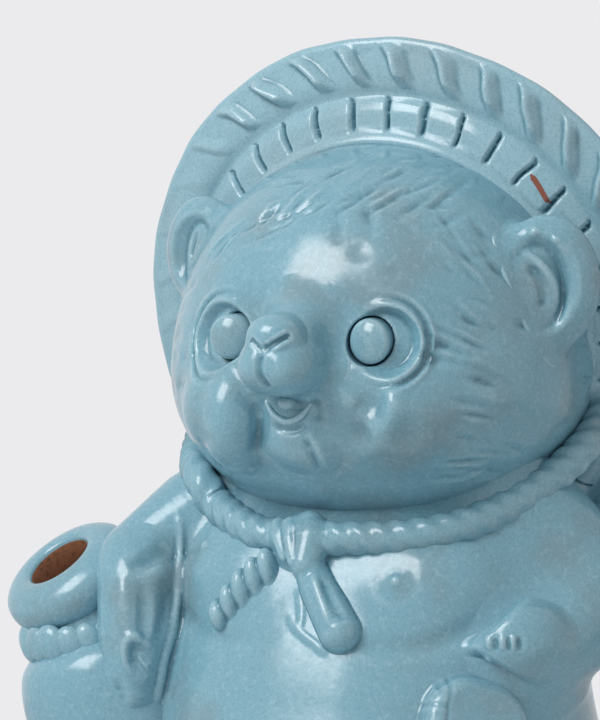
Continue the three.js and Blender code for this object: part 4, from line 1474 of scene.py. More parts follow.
    # by its height in pixels, how far the left cheek's fur falls, in degrees
    cheek_fall: tuple[tuple[float, float], ...] = ((240, 52), (330, 30), (420, 14), (480, -8))
    cheek_comb: Comb = Comb(1.0, (-0.3, 0.35, 0.5), (0.8, 1.2))
    whorl: Point = (4.8, -29.7, 208.1)
    strokes: int = 340
    ears_at: tuple[Point, Point] = ((-47.8, -9.0, 189.2), (49.9, -10.0, 183.6))
    ear_radii: tuple[Point, Point] = ((12.5, 6.0, 14.4), (13.6, 6.5, 17.2))
    ear_yaw: float = 18.0
    # the left ear's rim, the fold in it and the hollows between them
    ear_lines: tuple[Stroke, ...] = (
        Stroke(
            [(495, 237), (511, 228), (533, 230), (556, 242), (570, 268), (572, 292), (563, 322), (546, 341)],
            -0.7,
            1.3,
            0.2,
        ),
        Stroke(
            [(513, 256), (521, 253), (538, 262), (553, 281), (555, 304), (543, 327), (537, 340)],
            -1.3,
            1.0,
            0.2,
        ),
        Stroke([(512, 257), (518, 285), (532, 312)], -1.1, 1.1, 0.2),
        Stroke([(524, 264), (538, 277), (543, 296), (538, 310)], 1.5, 1.3, 0.2),
        Stroke([(507, 248), (524, 241), (548, 255), (563, 282), (564, 306), (552, 332)], 0.3, 1.5, 0.2),
    )
    cell: float = 0.62
    skull_box: Box = ((-57.0, -62.0, 114.0), (57.0, 40.0, 224.0))
    muzzle_box: Box = ((-34.0, -77.0, 134.0), (34.0, -24.0, 202.0))
    nose_box: Box = ((-15.0, -76.0, 160.0), (15.0, -46.0, 186.0))
    jaw_box: Box = ((-16.0, -64.0, 130.0), (16.0, -32.0, 164.0))
    tongue_box: Box = ((-6.0, -60.0, 149.0), (5.5, -46.0, 161.0))
    # the left ear's
    ear_box: Box = ((27.0, -28.0, 156.0), (76.0, 18.0, 214.0))
    seed: int = 11
    hat: Hat = dataclass_field(default_factory=Hat)

    def bare(self) -> Field:
        """Skull and jowls before the face is carved."""
        return joined(8.0, egg(self.skull_at, self.skull_radii), egg(self.jowl_at, self.jowl_radii))

    def cheeks(self) -> Field:
        """The bare head with a round cheek on each side, and a narrow fold by the mouth's right corner."""
        swells = [egg(mirrored(self.cheek_at, side), self.cheek_radii) for side in Side]
        return joined(1.3, joined(4.5, self.bare(), *swells), egg(self.smile_at, self.smile_radii))

    def on_face(self, p: Sequence[float]) -> Array:
        """Moves a place on to the bare head.

        Args:
            p: a place near it.

        Returns:
            The nearest place on it.
        """
        q, bare = np.float32([p]), self.bare()
        for _ in range(6):
            slope = slope_of(bare, q, 0.2)
            q = q - bare(q)[:, None] * slope / np.maximum(length(slope)[:, None] ** 2, TINY)
        return q[0].astype(float)

    def lids(self, side: Side) -> Field:
        """The hollow and the raised rims round one eye.

        Args:
            side: which eye.

        Returns:
            How much clay they take away at each place.
        """
        centre = np.float32(self.eyes_at[side.index])
        axes = np.float32(frame_of(unit(mirrored((0.42, -0.905, 0.02), side))))
        crest = 1.2 if side is Side.LEFT else 0.6
        rims = [(9.3, 1.0, crest, 1), *self.lid_folds]

        def amount(p: Array) -> Array:
            q = (p - centre) @ axes
            outward = -q[:, 0] * side.value
            rho = np.hypot(q[:, 0], q[:, 2])
            swing = np.clip(0.5 + 0.75 * outward / np.maximum(rho, 1), 0.0, 1)
            bowl = np.clip((9.2 - rho) / 2.8, 0, 1)
            take = 2.1 * bowl * bowl * (3 - 2 * bowl)
            for radius, width, height, power in rims:
                take -= height * swing**power * np.exp(-(((rho - radius) / width) ** 2))
            return take * (np.abs(q[:, 1]) < 9.0)

        return boxed(centre - 16.0, centre + 16.0, amount)

    def pupil(self, side: Side, margin: float) -> Field:
        """A straight oval bar about a pupil's axis.

        Args:
            side: which eye.
            margin: how much wider than the pupil it is on each side.

        Returns:
            Its distance field.
        """
        centre = np.float32(self.pupils_at[side.index])
        yaw = math.radians(self.pupil_yaw) * side.value
        axes = np.float32(frame_of((math.sin(yaw), -math.cos(yaw), 0)))
        a, b = (half + margin for half in self.pupil_half)

        def distance(p: Array) -> Array:
            q = (p - centre) @ axes
            rim = (np.hypot(q[:, 0] / a, q[:, 2] / b) - 1) * a
            return np.maximum(rim, -q[:, 1] - 8.0)

        return distance

    def face(self) -> Field:
        """The head with its cheeks, eye hollows, folds and dimples, but without holes for the pupils.

        Returns:
            Its distance field.
        """
        form = self.cheeks()
        cuts = [self.lids(side) for side in Side]
        cuts += self.recesses()
        cuts += [dimple(mirrored((24.0, -44.0, 184.0), side), 8.0, -0.7) for side in Side]
        cuts += pressed(form, self.face_lines)
        cuts += [dimple(VIEW.onto(form, [at])[0], radius, depth) for at, radius, depth in self.dimples]
        return carved(form, cuts)

    def recesses(self) -> list[Field]:
        """The hollows between the snout and the eyes."""
        return [dimple(mirrored(at, side), *size) for at, *size in self.hollows for side in Side]

    def snout(self) -> Field:
        """One smooth snout: a ridge from the brow to the nose, over two whisker pads on a round base.

        Returns:
            Its distance field.
        """
        pads = [egg(mirrored(self.pad_at, side), self.pad_radii) for side in Side]
        ridge = limb(((0.0, -42.0, 173.0), (0.0, -53.0, 172.0), (0.0, -61.0, 170.5)), (7.0, 6.6, 5.4))
        return joined(3.5, joined(4.0, egg(self.snout_at, self.snout_radii), ridge), joined(2.2, *pads))

    def footed(self, snout: Field, face: Field) -> Field:
        """The snout on the face, with a wide soft foot on the brow's side and a narrow one over the mouth.

        Args:
            snout: the snout.
            face: what it is stuck to.

        Returns:
            The stuck snout's distance field.
        """
        wide, narrow = (fused(snout, [face], fillet) for fillet in (10.0, 5.0))
        foot, head = 158.0, 168.0

        def distance(p: Array) -> Array:
            share = np.clip((p[:, 2] - foot) / (head - foot), 0, 1)
            low = narrow(p)
            return low + (wide(p) - low) * share

        return distance

    def lip(self, form: Field) -> Field:
        """A thin smiling lip that stands on the face."""
        return limb(VIEW.onto(form, self.mouth, 0.5), (0.5, 0.85, 0.95, 0.95, 0.85, 0.5), 20)

    def fur(self) -> list[Field]:
        """Strokes of hair: along the hairline, under the brim, on the left cheek, and over the head's sides.

        Returns:
            How much clay each of them takes away.
        """
        form = self.bare()
        strokes = pressed(form, self.hairline)
        rng = np.random.default_rng(self.seed)
        brim_x, brim_y = np.array(self.brim_line, float).T
        for x in np.arange(brim_x[0], brim_x[-1] + 2, 5.2):
            # the hair under the brim lies along it, up and to the figure's left
            y = np.interp(x, brim_x, brim_y) + rng.uniform(5, 42)
            rise, size = rng.uniform(22, 38), rng.uniform(24, 42)
            strokes.append(self.brim_comb.stroke(rng, (x, y), -rise, size).on(form))
        count = 60
        for x, y in zip(rng.uniform(438, 500, count), rng.uniform(226, 486, count)):
            # the fur of the left cheek runs back and down from the eye
            fall = np.interp(y, *np.array(self.cheek_fall).T) + rng.normal() * 5
            strokes.append(self.cheek_comb.stroke(rng, (x, y), fall, rng.uniform(22, 40)).on(form))
        while len(strokes) < self.strokes:
            p = self.on_face(np.array(self.skull_at) + 50 * unit(rng.normal(size=3)))
            if self.has_fur(p):
                strokes.append(self.hair(p, rng))
        return strokes

    def has_fur(self, p: Array) -> bool:
        """Whether a place on the bare head lies among the fur of the head's top and sides."""
        smooth = abs(p[0]) < 33.0 and p[1] < -20.0 and p[2] < 198.0
        whorl = length((p - np.array(self.whorl))[None])[0] < 9.0
        return not (smooth or whorl or p[1] > 22.0 or p[2] < 128.0)

    def hair(self, p: Array, rng: np.random.Generator) -> Field:
        """One stroke that runs away from the whorl, or back and down on the sides.

        Args:
            p: its middle, on the bare head.
            rng: where its direction and size come from.

        Returns:
            How much clay it takes away.
        """
        flow = np.array([0.12 * np.sign(p[0]), 1.0, -0.32])
        if p[2] > 194.0:
            flow = p - np.array(self.whorl)
        flow = unit(unit(flow) + 0.18 * rng.normal(size=3))
        ends = [self.on_face(p + flow * step) for step in rng.uniform(4.0, 7.0) * np.array([-1, 0, 1])]
        return groove(ends, rng.uniform(0.15, 0.5), rng.uniform(1.1, 1.8), 0.4)

    def ear(self, side: Side) -> Field:
        """A cupped ear with a sharp rim, and a smaller cupped fold inside it.

        Args:
            side: which ear.

        Returns:
            Its distance field.
        """
        centre = np.array(self.ears_at[side.index])
        yaw = math.radians(self.ear_yaw) * side.value
        facing = np.array([math.sin(yaw), -math.cos(yaw), 0])
        axes = frame_of(facing)
        inward = np.array([-side.value * math.cos(yaw), -math.sin(yaw) * side.value, 0])
        up = np.array([0, 0, 1.0])
        wide, deep, high = self.ear_radii[side.index]
        plate = egg(centre, (wide, deep, high), axes)
        cup = egg(centre + facing * 7.7 + inward * 1.6, (wide - 2.6, 6.4, high - 2.8), axes)
        fold_at = centre + facing * 1.2 + inward * 2.6 - up * 1.0
        fold = egg(fold_at, (0.5 * wide, 4.4, 0.66 * high), axes)
        shell = joined(0.8, without(plate, cup, soft=1.2), fold)
        if side is Side.LEFT:
            return carved(shell, pressed(shell, self.ear_lines))
        slit = fold_at + facing * 4.2 - inward * 0.8
        dent = limb([slit + up * 5.5, slit, slit - up * 3.0 + inward * 1.2], [1.0, 1.7, 1.2])
        return without(shell, dent, soft=1.0)

    def plug(self, side: Side) -> Field:
        """An eye: the pupil's bar with a domed front.

        Args:
            side: which eye.

        Returns:
            Its distance field.
        """
        behind = np.array(self.pupils_at[side.index]) + np.array([0, 8.4, 0])
        dome = egg(behind, (8.6, 9.0, 9.6))
        return without(self.pupil(side, 0.0), lambda p: -dome(p), soft=1.2)

    def build(self, kiln: Kiln) -> None:
        """Makes the head and all that is stuck to it.

        Args:
            kiln: what finishes and places the pieces.
        """
        face, snout = self.face(), carved(self.snout(), self.recesses())
        lip, nose = self.lip(face), egg(self.nose_at, self.nose_radii)
        sockets = [self.pupil(side, self.pupil_gap) for side in Side]
        jaw = fused(egg(self.chin_at, self.chin_radii), [face], 4.5)
        chin = joined(0.4, fused(lip, [face, snout], 0.7), jaw)
        creases = pressed(joined(0.5, face, chin), self.chin_lines)
        skull = within(carved(face, creases), self.hat.front(10.0))
        skull = without(skull, *sockets, soft=0.5)
        kiln.shape("head_shell", skull, self.skull_box, self.cell, self.fur())
        parted = pressed(joined(2.5, snout, nose), self.partings)
        stuck = without(carved(self.footed(snout, face), parted + creases[-1:]), *sockets, soft=0.5)
        kiln.shape("muzzle", stuck, self.muzzle_box, 0.46)
        nose = carved(fused(nose, [face, snout], 4.0), parted)
        kiln.shape("nose_button", nose, self.nose_box, 0.34)
        kiln.shape("lower_jaw", carved(chin, creases), self.jaw_box, 0.34)
        tongue = fused(egg((-0.6, -54.6, 154.9), (2.2, 2.8, 1.8)), [face, snout, lip], 0.7)
        kiln.shape("tongue", tongue, self.tongue_box, 0.28)
        for side in Side:
            ear = fused(self.ear(side), [face, self.hat.solid()], 4.5)
            kiln.shape(f"{side.word}_ear", ear, box_on(self.ear_box, side), 0.42)
            at = np.array(self.pupils_at[side.index])
            box = tuple(at - 10.0), tuple(at + 10.0)
            kiln.shape(f"{side.word}_eye", self.plug(side), box, 0.27, slot=Slot.EYE_GLAZE)


@dataclass
class Arms:
    """The arms and hands: the right one hangs over the flask, the left one lies on the account book."""

    shoulder_at: Point = (36.0, -4.0, 128.0)
    right_wrist: Point = (-57.8, -27.8, 112.1)
    mitten: tuple[Point, ...] = ((-54.4, -34.4, 105.0), (-52.9, -37.9, 92.0), (-53.0, -39.6, 78.6))
    # fingers side by side, and the thumb curled in a ring
    finger_lines: tuple[Stroke, ...] = tapered(
        0.35,
        ([(141, 576), (143, 595), (144, 612), (143, 632), (148, 648)], 1.5, 1.5),
        ([(166, 586), (165, 606), (160, 630), (152, 648)], 1.1, 1.6),
        ([(123, 572), (124, 600), (128, 630)], -0.9, 1.8),
        ([(107, 565), (106, 600), (109, 640), (117, 676)], 0.7, 1.8),
        ([(152, 650), (142, 640), (132, 637), (125, 645), (126, 661), (135, 678)], -1.5, 1.2),
        ([(150, 664), (139, 653), (136, 662), (146, 680)], 1.5, 2.2),
        ([(113, 678), (119, 693), (127, 708)], 1.1, 1.6),
        ([(103, 660), (109, 686), (120, 709)], -0.6, 1.4),
    )
    cuff: Stroke = Stroke([(126, 567), (140, 563), (155, 557), (171, 546)], 2.4, 2.2, 0.45)
    seam: Stroke = Stroke(
        [(180, 514), (180, 548), (178, 588), (174, 624), (165, 657), (161, 679), (155, 707)], -1.3, 0.9, 0.1
    )
    left_elbow: Point = (59.7, -2.0, 102.3)
    left_wrist: Point = (52.7, -21.0, 91.3)
    left_radii: Point = (14.0, 13.5, 13.0)
    # the paw's flat corner toward the belly
    paw_corner: Point = (41.2, -36.4, 93.8)
    paw_edge: Stroke = Stroke([(470, 650), (489, 659), (508, 671)], -0.8, 0.9, 0.2)
    cell: float = 0.5
    right_arm_box: Box = ((-78.0, -48.0, 90.0), (-18.0, 18.0, 152.0))
    right_hand_box: Box = ((-84.0, -60.0, 56.0), (-26.0, -2.0, 130.0))
    left_arm_box: Box = ((4.0, -56.0, 62.0), (90.0, 36.0, 160.0))
    left_hand_box: Box = ((28.0, -50.0, 72.0), (76.0, -2.0, 116.0))
    torso: Torso = dataclass_field(default_factory=Torso)

    def right_arm(self) -> Field:
        """The right arm, from the shoulder out and forward."""
        line = [mirrored(self.shoulder_at, Side.RIGHT), (-47.0, -16.5, 120.2), self.right_wrist]
        return limb(line, (14.0, 12.6, 8.6))

    def right_hand(self) -> Field:
        """A broad mitten that hangs down over the flask."""
        palm = egg((-55.0, -32.6, 107.2), (10.2, 8.4, 8.6), frame_of((0.45, -0.89, 0)))
        return joined(2.5, palm, limb(self.mitten, (9.9, 9.4, 6.8)))

    def fingers(self, hand: Field) -> list[Field]:
        """The mitten's relief: the puff under the cuff, and the fingers."""
        puff = dimple(VIEW.onto(hand, [(158, 571)])[0], 4.0, -1.2)
        return [puff, *pressed(hand, self.finger_lines)]

    def left_arm(self) -> Field:
        """The left arm, bent at a round elbow.

        Returns:
            Its distance field.
        """
        line = [mirrored(self.shoulder_at, Side.LEFT), (50.5, -2.0, 116.0), self.left_elbow]
        forearm = [self.left_radii[-1], 9.8]
        return joined(6.0, limb(line, self.left_radii), limb([self.left_elbow, self.left_wrist], forearm))

    def left_hand(self) -> Field:
        """A wedge of a paw: a flat corner toward the belly, and short grooves between its fingers.

        Returns:
            Its distance field.
        """
        lump = egg((50.5, -27.0, 95.0), (13.0, 11.5, 11.5), frame_of((0.6, -0.8, 0)))
        upper = beyond(self.paw_corner, (-0.627, -0.261, 0.734))
        lower = beyond(self.paw_corner, (-0.414, -0.279, -0.866))
        paw = without(lump, lambda p: -upper(p), lambda p: -lower(p), soft=1.6)
        strokes = []
        for x in (489.0, 503.0, 513.0):
            strokes.append(Stroke([(x - 1, 634), (x, 643), (x + 1, 651)], -1.2, 0.9, 0.4))
            strokes.append(Stroke([(x + 5, 635), (x + 6, 644), (x + 6, 652)], 0.9, 0.9, 0.4))
        return carved(paw, pressed(paw, [*strokes, self.paw_edge]))

    def build(self, kiln: Kiln) -> None:
        """Makes both arms and both hands.

        Args:
            kiln: what finishes and places them.
        """
        body = self.torso.form()
        arm, hand = self.right_arm(), self.right_hand()
        front = joined(7.0, joined(5.0, body, arm), hand)
        edges = pressed(front, [self.cuff, self.seam])
        kiln.shape("right_arm", carved(fused(arm, [body], 5.0), edges), self.right_arm_box, self.cell)
        lower = carved(fused(hand, [body, arm], 7.0), [*edges, *self.fingers(front)])
        kiln.shape("right_hand", lower, self.right_hand_box, 0.42)
        bent, paw = self.left_arm(), self.left_hand()
        kiln.shape("left_arm", fused(bent, [body], 13.0), self.left_arm_box, self.cell)
        kiln.shape("left_hand", fused(paw, [body, bent], 4.0), self.left_hand_box, 0.4)


@dataclass
class Cord:
    """The hat cord, moulded as laid rope round the jaw, with its knot and two tails on the chest."""

    radius: float = 4.4
    pitch: float = 17.0
    # its middle from the throat to under the brim; the last three places are the same on the right
    left_line: tuple[Point, ...] = (
        (8.0, -36.9, 119.8), (21.0, -34.0, 120.4), (33.0, -27.6, 122.8), (43.0, -17.5, 127.6),
        (50.6, -5.0, 135.4), (54.6, 6.0, 143.2), (53.0, 17.0, 150.0), (49.0, 23.0, 153.0),
    )
    right_line: tuple[Pixel, ...] = ((197, 462), (204, 484), (217, 504), (238, 521), (262, 533))
    knot_at: Point = (-5.5, -37.6, 117.6)
    knot_radii: Point = (7.4, 4.6, 7.6)
    # pixels, lift and radii of the knot's two thin strands and its broad loop
    knot_strands: tuple[tuple[Sequence[Pixel], float, Point], ...] = (
        ([(279, 524), (280, 538), (285, 556)], 5.6, (1.7, 2.0, 1.5)),
        ([(290, 524), (291, 540), (293, 560)], 6.0, (1.7, 2.0, 1.5)),
        ([(310, 527), (312, 540), (306, 564)], 2.8, (4.2, 4.8, 4.2)),
    )
    long_line: tuple[Pixel, ...] = ((306, 556), (317, 586), (330, 612), (340, 632))
    # a ridge and a crease along the long tail
    long_marks: tuple[Stroke, ...] = (
        Stroke([(312, 572), (320, 598), (330, 626)], -0.8, 1.0, 0.2),
        Stroke([(321, 576), (331, 600), (344, 622)], 0.8, 1.2, 0.2),
    )
    short_line: tuple[Pixel, ...] = ((268, 568), (255, 578), (242, 590), (230, 602), (219, 615))
    cell: float = 0.34
    knot_box: Box = ((-20.0, -54.0, 102.0), (12.0, -28.0, 134.0))
    long_box: Box = ((-14.0, -60.0, 84.0), (22.0, -32.0, 124.0))
    short_box: Box = ((-38.0, -54.0, 88.0), (-4.0, -28.0, 122.0))
    torso: Torso = dataclass_field(default_factory=Torso)
    head: Head = dataclass_field(default_factory=Head)
    arms: Arms = dataclass_field(default_factory=Arms)

    def line(self) -> Array:
        """The middle of the rope, from under the brim, along the jaw to the throat and up again.

        Returns:
            Places along it, one a row.
        """
        right = [mirrored(p, Side.RIGHT) for p in reversed(self.left_line[-3:])]
        carrier = joined(4.0, self.torso.bare(), self.arms.right_arm())
        right += list(VIEW.onto(carrier, self.right_line, 1.8))
        return through([*right, (-3.0, -37.4, 119.4), *self.left_line], 240)

    def rope(self, kiln: Kiln, line: Array) -> bpy.types.Mesh:
        """Lays rope along a line.

        Args:
            kiln: where its finish comes from.
            line: its middle.

        Returns:
            The rope's mesh.
        """
        long = float(length(np.diff(line, axis=0)).sum())
        values = {"Turns": long / self.pitch, "Strands": 3.0, "Lobe": 0.055}
        values["Material"] = kiln.glaze
        return grown(rope_curve(line, np.full(len(line), self.radius)), rope_tree(), values)

    def knot(self, chest: Field) -> Field:
        """Two thin strands side by side and the broad loop next to them, on a round core."""
        strands = [limb(VIEW.onto(chest, at, lift), radii) for at, lift, radii in self.knot_strands]
        return joined(1.0, egg(self.knot_at, self.knot_radii), *strands)

    def long_tail(self, chest: Field) -> Field:
        """A tail that widens to its end, with a crease along it."""
        tail = limb(VIEW.onto(chest, self.long_line, 0.6), (3.8, 4.4, 5.0, 5.2))
        return carved(tail, pressed(tail, self.long_marks))

    def short_tail(self, chest: Field) -> Field:
        """A tail of twisted strands that shows as a row of slanted lumps, each smaller than the last.

        Args:
            chest: what it lies on.

        Returns:
            Its distance field.
        """
        middles = VIEW.onto(chest, self.short_line, 1.0)
        along = unit(middles[-1] - middles[0])
        over = unit(np.cross(along, VIEW.axes()[:, 2]))
        slant = math.radians(32.0)
        first = along * math.cos(slant) + over * math.sin(slant)
        second = over * math.cos(slant) - along * math.sin(slant)
        turn = np.column_stack([first, np.cross(second, first), second])
        lumps = [egg(at, (2.7, 3.5, wide), turn) for at, wide in zip(middles, (5.2, 5.6, 5.4, 4.7, 3.9))]
        return joined(0.7, limb(middles, (2.6, 2.8, 2.0)), *lumps)

    def build(self, kiln: Kiln) -> None:
        """Makes the rope, the knot and the tails.

        Args:
            kiln: what finishes and places them.
        """
        line = self.line()
        kiln.fire("hat_cord", self.rope(kiln, line))
        body, chest = self.torso.form(), self.torso.bare()
        cord = limb(line[::12], [self.radius] * 2, 30)
        knot = self.knot(chest)
        stuck = fused(knot, [body, self.head.face(), cord], 1.4)
        kiln.shape("cord_knot", stuck, self.knot_box, self.cell)
        long_tail = fused(self.long_tail(chest), [body, knot], 1.5)
        kiln.shape("cord_long_tail", long_tail, self.long_box, self.cell)
        short_tail = fused(self.short_tail(chest), [body, knot], 1.2)
        kiln.shape("cord_short_tail", short_tail, self.short_box, self.cell)


@dataclass
class AccountBook:
    """A closed book of folded paper under the left hand, with a cord-bound spine."""

    width: float = 27.0
    height: float = 44.0
    thickness: float = 8.0
    corner: float = 3.6
    round: float = 11.0
    roll: float = -14.0
    azimuth: float = 47.0
    middle_z: float = 65.0
    spine_in: float = 4.5
    box: Box = ((14.0, -70.0, 34.0), (68.0, -14.0, 100.0))
    torso: Torso = dataclass_field(default_factory=Torso)
    arms: Arms = dataclass_field(default_factory=Arms)

    def axes(self) -> tuple[Array, Array]:
        """Where the book lies on the belly.

        Returns:
            Its middle, and its across, up and outward directions as columns.
        """
        seat = self.torso.place(self.middle_z, self.azimuth)
        up = self.torso.place(self.middle_z + self.height / 2, self.azimuth) - seat
        aside = self.torso.place(self.middle_z, self.azimuth + 10) - seat
        outward = unit(np.cross(aside, up))
        across = unit(np.cross(UP, outward))
        over = np.cross(outward, across)
        c, s = math.cos(math.radians(self.roll)), math.sin(math.radians(self.roll))
        return seat, np.column_stack([across * c + over * s, over * c - across * s, outward])

    def form(self) -> Field:
        """A block with round corners, its pages a little inside its covers.

        Returns:
            Its distance field.
        """
        seat, axes = self.axes()
        origin, turn = np.float32(seat), np.float32(axes)
        half = np.float32([self.width / 2, self.height / 2]) - self.round
        thick = self.thickness / 2 - self.corner

        def distance(p: Array) -> Array:
            q = (p - origin) @ turn
            from_spine = q[:, 0] + self.width / 2
            aside = np.abs(q[:, :2]) - half
            edge = length(np.maximum(aside, 0)) + np.minimum(aside.max(1), 0) - self.round + self.corner
            out = np.stack([edge, np.abs(q[:, 2]) - thick], 1)
            d = length(np.maximum(out, 0)) + np.minimum(out.max(1), 0) - self.corner
            pages = np.exp(-((q[:, 2] / 1.6) ** 2)) * (from_spine > 2.0)
            holes = sum(np.exp(-(((q[:, 1] - at) / 0.8) ** 2)) for at in (-13, -4.5, 4.5, 13))
            holes = holes * (from_spine < self.spine_in)
            spine = np.exp(-(((from_spine - self.spine_in) / 0.7) ** 2))
            marks = 0.4 * pages + 0.3 * spine + 0.25 * holes
            return d + marks.astype(np.float32)

        return distance

    def build(self, kiln: Kiln) -> None:
        """Makes the book.

        Args:
            kiln: what finishes and places it.
        """
        hosts = [self.torso.form(), self.arms.left_hand(), self.arms.left_arm()]
        kiln.shape("account_book", fused(self.form(), hosts, 3.0), self.box, 0.45)


@dataclass
class Flask:
    """The wine flask in the right hand: a lathe-turned body, a lashing of cord and a fat mouth ring."""

    centre: Point = (-63.5, -24.7, 69.3)
    axis: Point = (-0.3063, -0.1325, 0.9427)
    # radius and height of the outside, from the foot's edge to the top of the neck
    outside: tuple[Outline, ...] = (
        (13.0, -35.0), (20.5, -26.0), (23.8, -11.0), (24.0, 0.0), (23.2, 11.0), (20.8, 18.5),
        (15.6, 24.0), (12.0, 34.0),
    )
    outside_steps: int = 60
    wall: float = 3.5
    ring_base: Point = (-73.8, -26.3, 100.4)
    ring_axis: Point = (-0.336, -0.526, 0.781)
    # radius and height of the mouth ring's outside
    lip: tuple[Outline, ...] = (
        (12.0, -1.2), (15.0, 0.2), (17.4, 3.0), (18.2, 6.4), (17.4, 9.6), (14.6, 12.0),
        (11.2, 12.9), (9.2, 12.4), (8.4, 11.0),
    )
    sides: int = 144
    lash_at: Point = (-71.6, -28.0, 91.4)
    lash_axis: Point = (-0.12, -0.1, 0.99)
    lash_radius: float = 15.8
    loops: int = 19

    def thrown(self, kiln: Kiln, node: str, profile: Array, at: Point, axis: Point, glazed: int) -> None:
        """Turns a piece on the wheel, glazes its outside and leaves the clay of its inside bare.

        Args:
            kiln: what finishes and places it.
            node: the CAD node that it stands for.
            profile: its closed outline.
            at: where its own origin lies.
            axis: the direction of its axis.
            glazed: how many of the outline's corners, from the first, have glaze.
        """
        p, quads = turned(profile, self.sides)
        mesh = mesh_of(node, p @ frame_of(axis).T + np.array(at), quads)
        mesh.materials.append(kiln.glaze)
        mesh.materials.append(kiln.clay)
        corner = np.arange(len(mesh.polygons)) % len(profile)
        mesh.polygons.foreach_set("material_index", (corner >= glazed).astype(np.int32))
        kiln.fire(node, mesh)

    def body_profile(self) -> Array:
        """The body's closed outline: its outside, its inside, and a foot that is hollowed a little.

        Returns:
            [radius, height] corners.
        """
        line = through(self.outside, self.outside_steps)
        bottom = self.outside[0][1]
        inner = line[::-1] - np.array([self.wall, 0])
        inner[:, 1] = np.maximum(inner[:, 1], bottom + self.wall)
        rise = bottom + 1.2
        foot = [(0.4, bottom + self.wall), (0.4, rise), (10.0, rise), (10.8, bottom)]
        return np.vstack([line, inner, foot])

    def build(self, kiln: Kiln) -> None:
        """Makes the body, the ring and the lashing.

        Args:
            kiln: what finishes and places them.
        """
        glazed = self.outside_steps + 2
        self.thrown(kiln, "flask_body", self.body_profile(), self.centre, self.axis, glazed)
        profile = np.vstack([through(self.lip, 48), ((8.0, 7.0), (7.8, 2.5), (7.7, -1.0), (8.6, -2.0))])
        self.thrown(kiln, "flask_mouth_ring", profile, self.ring_base, self.ring_axis, 45)
        values = {"Loops": self.loops, "Radius": self.lash_radius * MM, "Lump": Vector((2.6, 3.7, 5.0)) * MM}
        values |= {"Lean": math.radians(24.0), "Seed": 4, "Material": kiln.glaze}
        lashing = grown(bpy.data.meshes.new("lashing"), lashing_tree(), values)
        axes = frame_of(self.lash_axis)
        turn = Matrix(np.column_stack([axes[:, 0], axes[:, 2], -axes[:, 1]]).tolist()).to_4x4()
        lashing.transform(Matrix.Translation(Vector(self.lash_at) * MM) @ turn)
        kiln.fire("flask_cord", lashing)


@dataclass
class FeetAndTail:
    """Two short feet in front and the brush of the tail behind."""

    foot_at: Point = (26.8, -47.0, 9.0)
    foot_radii: Point = (17.0, 22.0, 14.0)
    # by place along the groove between two toes: the share of the gap's distance from the middle, y and z
    toe_line: tuple[Point, ...] = ((1.0, -70.0, 3.0), (1.0, -68.5, 12.0), (0.9, -62.0, 19.0))
    spine: tuple[Point, ...] = ((0, 46.0, 55.0), (0, 56.0, 38.0), (0, 62.5, 24.0), (0, 65.5, 13.0))
    thickness: tuple[float, ...] = (9.0, 14.0, 15.0, 10.5)
    spine_steps: int = 40
    strokes: int = 90
    seed: int = 5
    cell: float = 0.6
    tail_box: Box = ((-22.0, 34.0, -1.0), (22.0, 84.0, 76.0))
    torso: Torso = dataclass_field(default_factory=Torso)

    def foot(self, side: Side) -> Field:
        """A foot with its toes.

        Args:
            side: which foot.

        Returns:
            Its distance field.
        """
        at = mirrored(self.foot_at, side)
        toes = []
        for gap in (-6.5, 0.0, 6.5):
            line = [(at[0] + gap * share, y, z) for share, y, z in self.toe_line]
            toes.append(groove(line, 1.8, 1.3, 0.2))
        return carved(egg(at, self.foot_radii), toes)

    def hair(self) -> list[Field]:
        """Strokes combed along the tail, round its back and sides.

        Returns:
            How much clay each of them takes away.
        """
        axis = through(self.spine, self.spine_steps)
        last = len(self.thickness) - 1
        radii = np.interp(np.linspace(0, last, self.spine_steps), range(last + 1), self.thickness)
        rng = np.random.default_rng(self.seed)
        hair = []
        for _ in range(self.strokes):
            first, turn = rng.integers(2, 26), rng.uniform(-0.6, math.pi + 0.6)
            steps = np.arange(first, first + 13, 4)
            swing = turn + 0.05 * rng.normal() * np.arange(4)
            out = np.column_stack([np.cos(swing), 0.8 * np.sin(swing), 0.6 * np.sin(swing)])
            line = axis[steps] + radii[steps, None] * out
            hair.append(groove(line, rng.uniform(0.4, 0.8), 0.9, 0.35))
        return hair

    def build(self, kiln: Kiln) -> None:
        """Makes the feet and the tail.

        Args:
            kiln: what finishes and places them.
        """
        body, ground = self.torso.form(), beyond((0, 0, 0), DOWN)
        for side in Side:
            x = mirrored(self.foot_at, side)[0]
            box = ((x - 24.0, -74.0, -1.0), (x + 24.0, -16.0, 32.0))
            foot = within(fused(self.foot(side), [body], 3.5), ground)
            kiln.shape(f"{side.word}_foot", foot, box, self.cell)
        tail = within(fused(limb(self.spine, self.thickness), [body], 4.0), ground)
        kiln.shape("tail", tail, self.tail_box, self.cell, self.hair())


